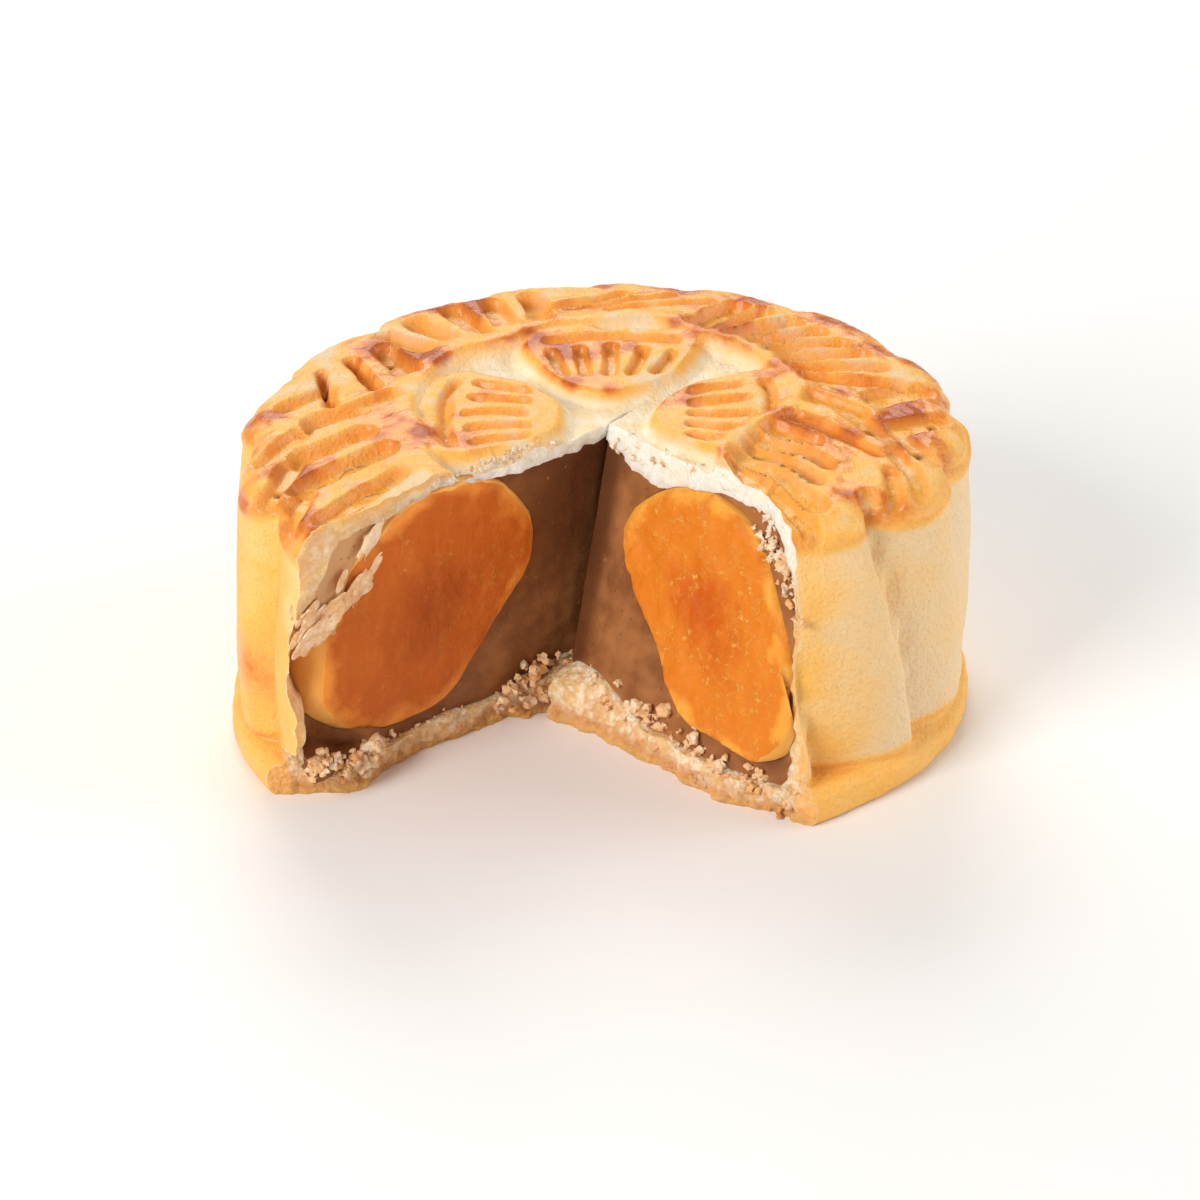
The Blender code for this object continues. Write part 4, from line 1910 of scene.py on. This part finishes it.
@dataclass(frozen=True)
class CrustFinish:
    """Baked skin: pale and matt on the wall, egg-washed golden brown on top."""

    raw: Colour = seen(238, 210, 168)
    peach: Colour = seen(248, 200, 130)
    gold: Colour = seen(252, 188, 90)
    amber: Colour = seen(246, 170, 82)
    brown: Colour = seen(218, 118, 30)
    dark: Colour = seen(180, 80, 12)
    burnt: Colour = seen(122, 52, 14)
    hollow: Colour = seen(255, 180, 70)
    hollow_pale: Colour = seen(255, 206, 132)
    # Painted shade on the slots' walls.
    slot_wall_shade: Colour = seen(228, 126, 46)
    flecks: Colour = seen(206, 128, 66)
    flour: Colour = seen(250, 226, 190)
    ground: Colour = seen(252, 238, 212)
    ground_warm: Colour = seen(248, 220, 172)

    def make(self) -> bpy.types.Material:
        """Build the material: browning first, then slots with painted shade on their walls, flecks, the
        pale ground and burnt pits.

        Returns:
            The material.
        """
        shader = Shader("baked_crust", Subsurface_Weight=0.12, Subsurface_Scale=0.0015,
                        Subsurface_Radius=(1.0, 0.55, 0.25), Coat_Roughness=0.16,
                        Specular_IOR_Level=0.15)
        wash, pale, pit, hollow = (shader.value(key) for key in ("wash", "pale", "pit", "hollow"))
        mottle = shader.noise(4.0, 4.0) - 0.5
        grain = shader.noise(0.7, 3.0) - 0.5
        patchy = shader.noise(9.0, 4.0) - 0.5
        browned = wash + 0.45 * mottle * (wash + 0.2) + 0.22 * grain * (wash + 0.3) + 0.22 * patchy
        colour = shader.ramp(browned, (0.0, self.raw), (0.22, self.peach), (0.42, self.gold),
                             (0.62, self.amber), (0.84, self.brown), (1.0, self.dark))
        bottom = shader.mix(shader.noise(2.6, 3.0).between(0.42, 0.68), self.hollow, self.hollow_pale)
        colour = shader.mix(hollow * 0.9, colour, bottom)
        # Painted shade: a darker orange band on the slots' walls, where the slots fall into shade.
        colour = shader.mix(hollow * (1 - hollow) * 1.2, colour, self.slot_wall_shade)
        fine = shader.noise(0.35, 2.0, 0.6)
        colour = shader.mix(fine.between(0.52, 0.72) * 0.22, colour, self.flecks)
        speck = shader.specks(1.3, 0.14)
        colour = shader.mix(speck * 0.3, colour, self.flour)
        ground = shader.mix(shader.noise(3.0, 3.0).between(0.35, 0.7), self.ground, self.ground_warm)
        colour = shader.mix(pale, colour, ground)
        colour = shader.mix(pit * 0.9, colour, self.burnt)
        gloss = wash.between(0.25, 0.6)
        shader.feed(shader.surface.inputs["Coat Weight"], gloss * 0.32)
        uneven = 0.12 * (shader.noise(1.5, 2.0) - 0.5)
        roughness = 0.64 - 0.24 * gloss + uneven + 0.15 * pale - 0.2 * pit
        height = shader.noise(0.45, 3.0) * 0.8 + shader.noise(1.8, 3.0) - 0.3 * speck
        return shader.finish(colour, roughness, height, 0.24)


@dataclass(frozen=True)
class CrumbFinish:
    """The torn or cut inside of the pastry: cream crumb, tanned next to the skin."""

    name: str = "pastry_crumb"
    cream: Colour = seen(255, 236, 206)
    # Painted shade in the grains' hollows, also used for tanned patches.
    shade_and_patch_tan: Colour = seen(238, 194, 140)
    top: Colour = seen(255, 249, 238)
    # Tanned tint of the crumb towards the left.
    toasted_and_painted_light_tint: Colour = seen(236, 184, 126)
    baked: Colour = seen(206, 132, 70)
    skin: Colour = seen(240, 176, 100)
    soft: float = 0.4

    def make(self) -> bpy.types.Material:
        """Build the material: cream with painted shade in the grains' hollows and tanned patches, white
        at the top, baked low down and at the skin.

        Returns:
            The material.
        """
        shader = Shader(self.name, Subsurface_Weight=self.soft, Subsurface_Scale=0.003,
                        Subsurface_Radius=(1.0, 0.7, 0.4), Specular_IOR_Level=0.15)
        depth, toast = shader.value("depth"), shader.value("toast")
        coarse, fine = shader.grains(1.25), shader.grains(0.55)
        patches = shader.noise(3.2, 4.0, 0.65)
        # Painted shade: the hollows between the grains, which the bump sinks, take the darker colour,
        # together with tanned patches at random.
        hollow_shade_and_patches = 0.55 * coarse + 0.35 * fine + 1.1 * (patches - 0.5)
        colour = shader.mix(hollow_shade_and_patches.between(0.16, 0.62), self.cream, self.shade_and_patch_tan)
        colour = shader.mix(shader.height.between(24.0, 31.0) * (1 - toast) * 0.75, colour, self.top)
        colour = shader.mix(toast * 0.5, colour, self.toasted_and_painted_light_tint)
        low = (shader.height + 5.0 * (shader.noise(2.2, 4.0, 0.65) - 0.5)).between(3.2, 0.2)
        colour = shader.mix(low * 0.8, colour, self.baked)
        skin = (depth + 1.8 * (shader.noise(1.6, 4.0) - 0.5)).between(1.1, 0.3)
        colour = shader.mix(skin * 0.8, colour, self.skin)
        height = 0.6 * shader.noise(0.5, 4.0, 0.65) - coarse - 0.6 * fine
        return shader.finish(colour, 0.85 - 0.1 * patches, height, 0.32)


@dataclass(frozen=True)
class PasteFinish:
    """Lotus paste: dense, smooth and a little waxy, with fine dark dots."""

    light: Colour = seen(166, 108, 62)
    dark: Colour = seen(126, 76, 40)
    waxy: Colour = seen(184, 124, 76)
    # Painted shade by the slit.
    damp: Colour = seen(92, 50, 26)
    # Painted light at the torn corner.
    toasted_and_painted_light_tint: Colour = seen(226, 172, 118)
    dark_dots: Colour = seen(92, 50, 24)
    light_dots: Colour = seen(206, 158, 108)

    def make(self) -> bpy.types.Material:
        """Build the material: two clouded tones, painted shade by the slit and painted light at the
        torn corner, then the dots.

        Returns:
            The material.
        """
        shader = Shader("lotus_paste", Subsurface_Weight=0.15, Subsurface_Scale=0.002,
                        Subsurface_Radius=(1.0, 0.5, 0.25), Specular_IOR_Level=0.25)
        colour = shader.mix(shader.noise(7.0, 4.0).between(0.3, 0.7), self.dark, self.light)
        for share, tint in (
            (shader.noise(1.8, 4.0).between(0.4, 0.7) * 0.3, self.waxy),
            # Painted shade by the slit, then painted light at the torn corner.
            (shader.value("damp"), self.damp),
            (shader.value("toast") * 0.8, self.toasted_and_painted_light_tint),
            (shader.specks(1.4, 0.13) * 0.6, self.dark_dots),
            (shader.specks(1.9, 0.12) * 0.4, self.light_dots),
        ):
            colour = shader.mix(share, colour, tint)
        height = shader.noise(1.2, 4.0) + 0.4 * shader.noise(0.3, 2.0)
        return shader.finish(colour, 0.42 + 0.1 * shader.noise(2.0, 2.0), height, 0.10)


@dataclass(frozen=True)
class YolkFinish:
    """Salted yolk: firm and orange, deeper in its middle and lighter at its edge."""

    name: str
    core: Colour
    flesh: Colour
    edge: Colour
    side: Colour
    flecks: float

    def shader(self, name: str, gloss: float) -> Shader:
        """Start a material with the yolk's depth of light."""
        return Shader(name, Subsurface_Weight=0.2, Subsurface_Scale=0.002,
                      Subsurface_Radius=(1.0, 0.35, 0.1), Specular_IOR_Level=gloss)

    def make(self) -> bpy.types.Material:
        """Build the material of the cut: the tone by distance from the middle, fibres and crumbs.

        Returns:
            The material.
        """
        shader = self.shader(self.name, 0.15)
        cloud = shader.noise(5.0, 4.0) - 0.5
        spread = shader.value("share") + (0.5 + 0.3 * self.flecks) * cloud
        colour = shader.ramp(
            spread, (0.1, self.core), (0.5, self.flesh), (0.87, self.flesh), (1.0, self.edge))
        fibres = shader.noise(1.5, 4.0, 0.6, tall=0.35).between(0.45, 0.7)
        colour = shader.mix(fibres * 0.16, colour, self.edge)
        clusters = shader.noise(4.0, 3.0).between(0.52 - 0.14 * self.flecks, 0.64 - 0.06 * self.flecks)
        crumbs = shader.noise(0.9, 4.0, 0.75).between(0.52, 0.68) * clusters
        colour = shader.mix(crumbs * (0.2 + 0.6 * self.flecks), colour, self.side)
        height = shader.noise(0.6, 4.0, 0.6) + 0.6 * shader.noise(2.0, 3.0) + 0.6 * crumbs
        return shader.finish(colour, 0.45 + 0.2 * crumbs, height, 0.14)

    def make_side(self) -> bpy.types.Material:
        """Build the material of the uncut skin.

        Returns:
            The material.
        """
        shader = self.shader(self.name + "_side", 0.3)
        streak = shader.noise(3.0, 3.0, 0.5, tall=0.3).between(0.35, 0.7)
        colour = shader.mix(streak * 0.6, self.side, self.edge)
        return shader.finish(colour, 0.45 + 0.1 * streak, shader.noise(1.0, 4.0), 0.12)


# The second colour of each crumb finish is painted shade in the grains' hollows and tanned patches.
LOOSE_CRUMB = CrumbFinish(
    "loose_crumb", cream=seen(255, 232, 200), shade_and_patch_tan=seen(246, 196, 146), top=seen(255, 238, 214),
    soft=0.0)
FLAKY_LAYER = CrumbFinish(
    "flaky_layer", cream=seen(255, 226, 188), shade_and_patch_tan=seen(242, 188, 136), top=seen(255, 228, 192),
    soft=0.0)
DEEP_YOLK = YolkFinish(
    "yolk_deep", core=seen(180, 82, 24), flesh=seen(206, 102, 32), edge=seen(242, 150, 62),
    side=seen(255, 188, 96), flecks=0.2)
BRIGHT_YOLK = YolkFinish(
    "yolk_bright", core=seen(202, 92, 22), flesh=seen(222, 126, 34), edge=seen(246, 168, 66),
    side=seen(254, 188, 90), flecks=1.0)


# ---------------------------------------------------------------------------------------------
# Studio
# ---------------------------------------------------------------------------------------------


@dataclass(frozen=True)
class Lamp:
    """A square lamp that faces the cake; sizes are metres and the power is watts."""

    name: str
    place: Place
    size: float
    power: float
    colour: Colour
    aim: Place = (0.0, 0.0, 0.015)

    def build(self) -> None:
        """Make the lamp."""
        light = bpy.data.lights.new(self.name, "AREA")
        light.size = self.size
        light.energy = self.power
        light.color = self.colour
        lamp = bpy.data.objects.new(self.name, light)
        lamp.location = self.place
        look = Vector(self.aim) - Vector(self.place)
        lamp.rotation_euler = look.to_track_quat("-Z", "Y").to_euler()
        bpy.context.scene.collection.objects.link(lamp)


@dataclass(frozen=True)
class Studio:
    """A pale table, soft lamps and the camera, in metres."""

    camera_place: Place = (-0.02748, -0.46821, 0.28726)
    camera_aim: Place = (0.0, -0.006, 0.0135)
    lens: float = 150.0
    sensor: float = 36.0
    roll: float = 0.63
    lamps: tuple[Lamp, ...] = (
        Lamp("key", (-0.52, -0.46, 0.46), 0.36, 5.0, seen(255, 252, 247)),
        Lamp("back", (-0.05, 0.62, 0.46), 0.45, 2.8, seen(255, 253, 250)),
        Lamp("fill", (0.78, -0.04, 0.26), 0.50, 3.0, seen(250, 251, 255)),
    )
    sky: Colour = seen(255, 254, 252)
    sky_strength: float = 0.37
    table_half: float = 2.5
    table_depth: Pair = (-1.6, 2.6)
    table_bend: float = 1.6
    table_tones: tuple[Colour, Colour] = (seen(244, 243, 242), seen(248, 247, 246))

    def build(self) -> None:
        """Make the table, the lamps, the sky and the camera."""
        self.make_table()
        for lamp in self.lamps:
            lamp.build()
        self.make_sky()
        self.make_camera()
        bpy.context.scene.view_settings.view_transform = "Standard"

    def make_table(self) -> None:
        """A wide sheet under a plain pale finish; past its bend it rises as 0.8 times distance^2."""
        rows, columns = 40, 3
        run = np.linspace(*self.table_depth, rows)[:, None]
        rise = np.where(run > self.table_bend, (run - self.table_bend) ** 2 * 0.8, 0.0)
        side = np.linspace(-self.table_half, self.table_half, columns)[None, :]
        points = np.stack(np.broadcast_arrays(side, run, rise), axis=-1).reshape(-1, 3)
        mesh = bpy.data.meshes.new("table")
        mesh.from_pydata(points.tolist(), [], sheet_quads(rows, columns).tolist())
        shader = Shader("pale_table")
        tint = shader.mix(shader.noise(60.0, 2.0), *self.table_tones)
        roughness = 0.55 + 0.05 * shader.noise(8.0)
        mesh.materials.append(shader.finish(tint, roughness, shader.noise(2.0), 0.01))
        mesh.shade_smooth()
        table = bpy.data.objects.new("table", mesh)
        bpy.context.scene.collection.objects.link(table)

    def make_sky(self) -> None:
        """An even white sky."""
        world = bpy.data.worlds.new("studio")
        bpy.context.scene.world = world
        world.use_nodes = True
        background = world.node_tree.nodes["Background"]
        background.inputs["Color"].default_value = (*self.sky, 1)
        background.inputs["Strength"].default_value = self.sky_strength

    def make_camera(self) -> None:
        """The camera, aimed at the cake with a slight roll."""
        data = bpy.data.cameras.new("view")
        data.lens = self.lens
        data.sensor_width = self.sensor
        camera = bpy.data.objects.new("view", data)
        camera.location = self.camera_place
        look = (Vector(self.camera_aim) - Vector(self.camera_place)).to_track_quat("-Z", "Y")
        turn = look.to_matrix() @ Matrix.Rotation(math.radians(-self.roll), 3, "Z")
        camera.rotation_euler = turn.to_euler()
        bpy.context.scene.collection.objects.link(camera)
        bpy.context.scene.camera = camera


# ---------------------------------------------------------------------------------------------
# Assembly
# ---------------------------------------------------------------------------------------------


POCKET_CLEARANCE = 0.08


def dress(piece: bpy.types.Object, materials: list[bpy.types.Material], node: str) -> None:
    """Put a piece's materials on it and let it stand for a solid of the frame.

    Args:
        piece: The finished piece.
        materials: One material for each layer.
        node: The solid that it replaces.
    """
    for index, material in enumerate(materials):
        piece.data.materials[index] = material
    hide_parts(node)
    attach(piece, "root")
    LOG.info("%s: %d faces", piece.name, len(piece.data.polygons))


def main() -> None:
    """Build the cake, its finishes and the studio."""
    wedge = Wedge()
    crust = Crust(MOULD, Relief.pressed(MOULD), wedge)
    yolks = (LEFT_YOLK, RIGHT_YOLK)
    pockets = [yolk.whole(POCKET_CLEARANCE) for yolk in yolks]
    dress(crust.build(pockets), [CrustFinish().make(), CrumbFinish().make()], "crust")
    loose, layers = LOOSE_CRUMB.make(), FLAKY_LAYER.make()
    dress(Crumbs().build(), [loose, loose], "crust")
    dress(Flakes().build(), [layers, layers], "crust")
    paste = PasteFinish().make()
    dress(Filling(crust, wedge).build(pockets), [paste, paste], "filling")
    looks = (DEEP_YOLK, BRIGHT_YOLK)
    for yolk, look, node in zip(yolks, looks, ("yolk_left", "yolk_right")):
        dress(yolk.build(wedge), [look.make_side(), look.make()], node)
    Studio().build()


if __name__ == "__main__":
    main()
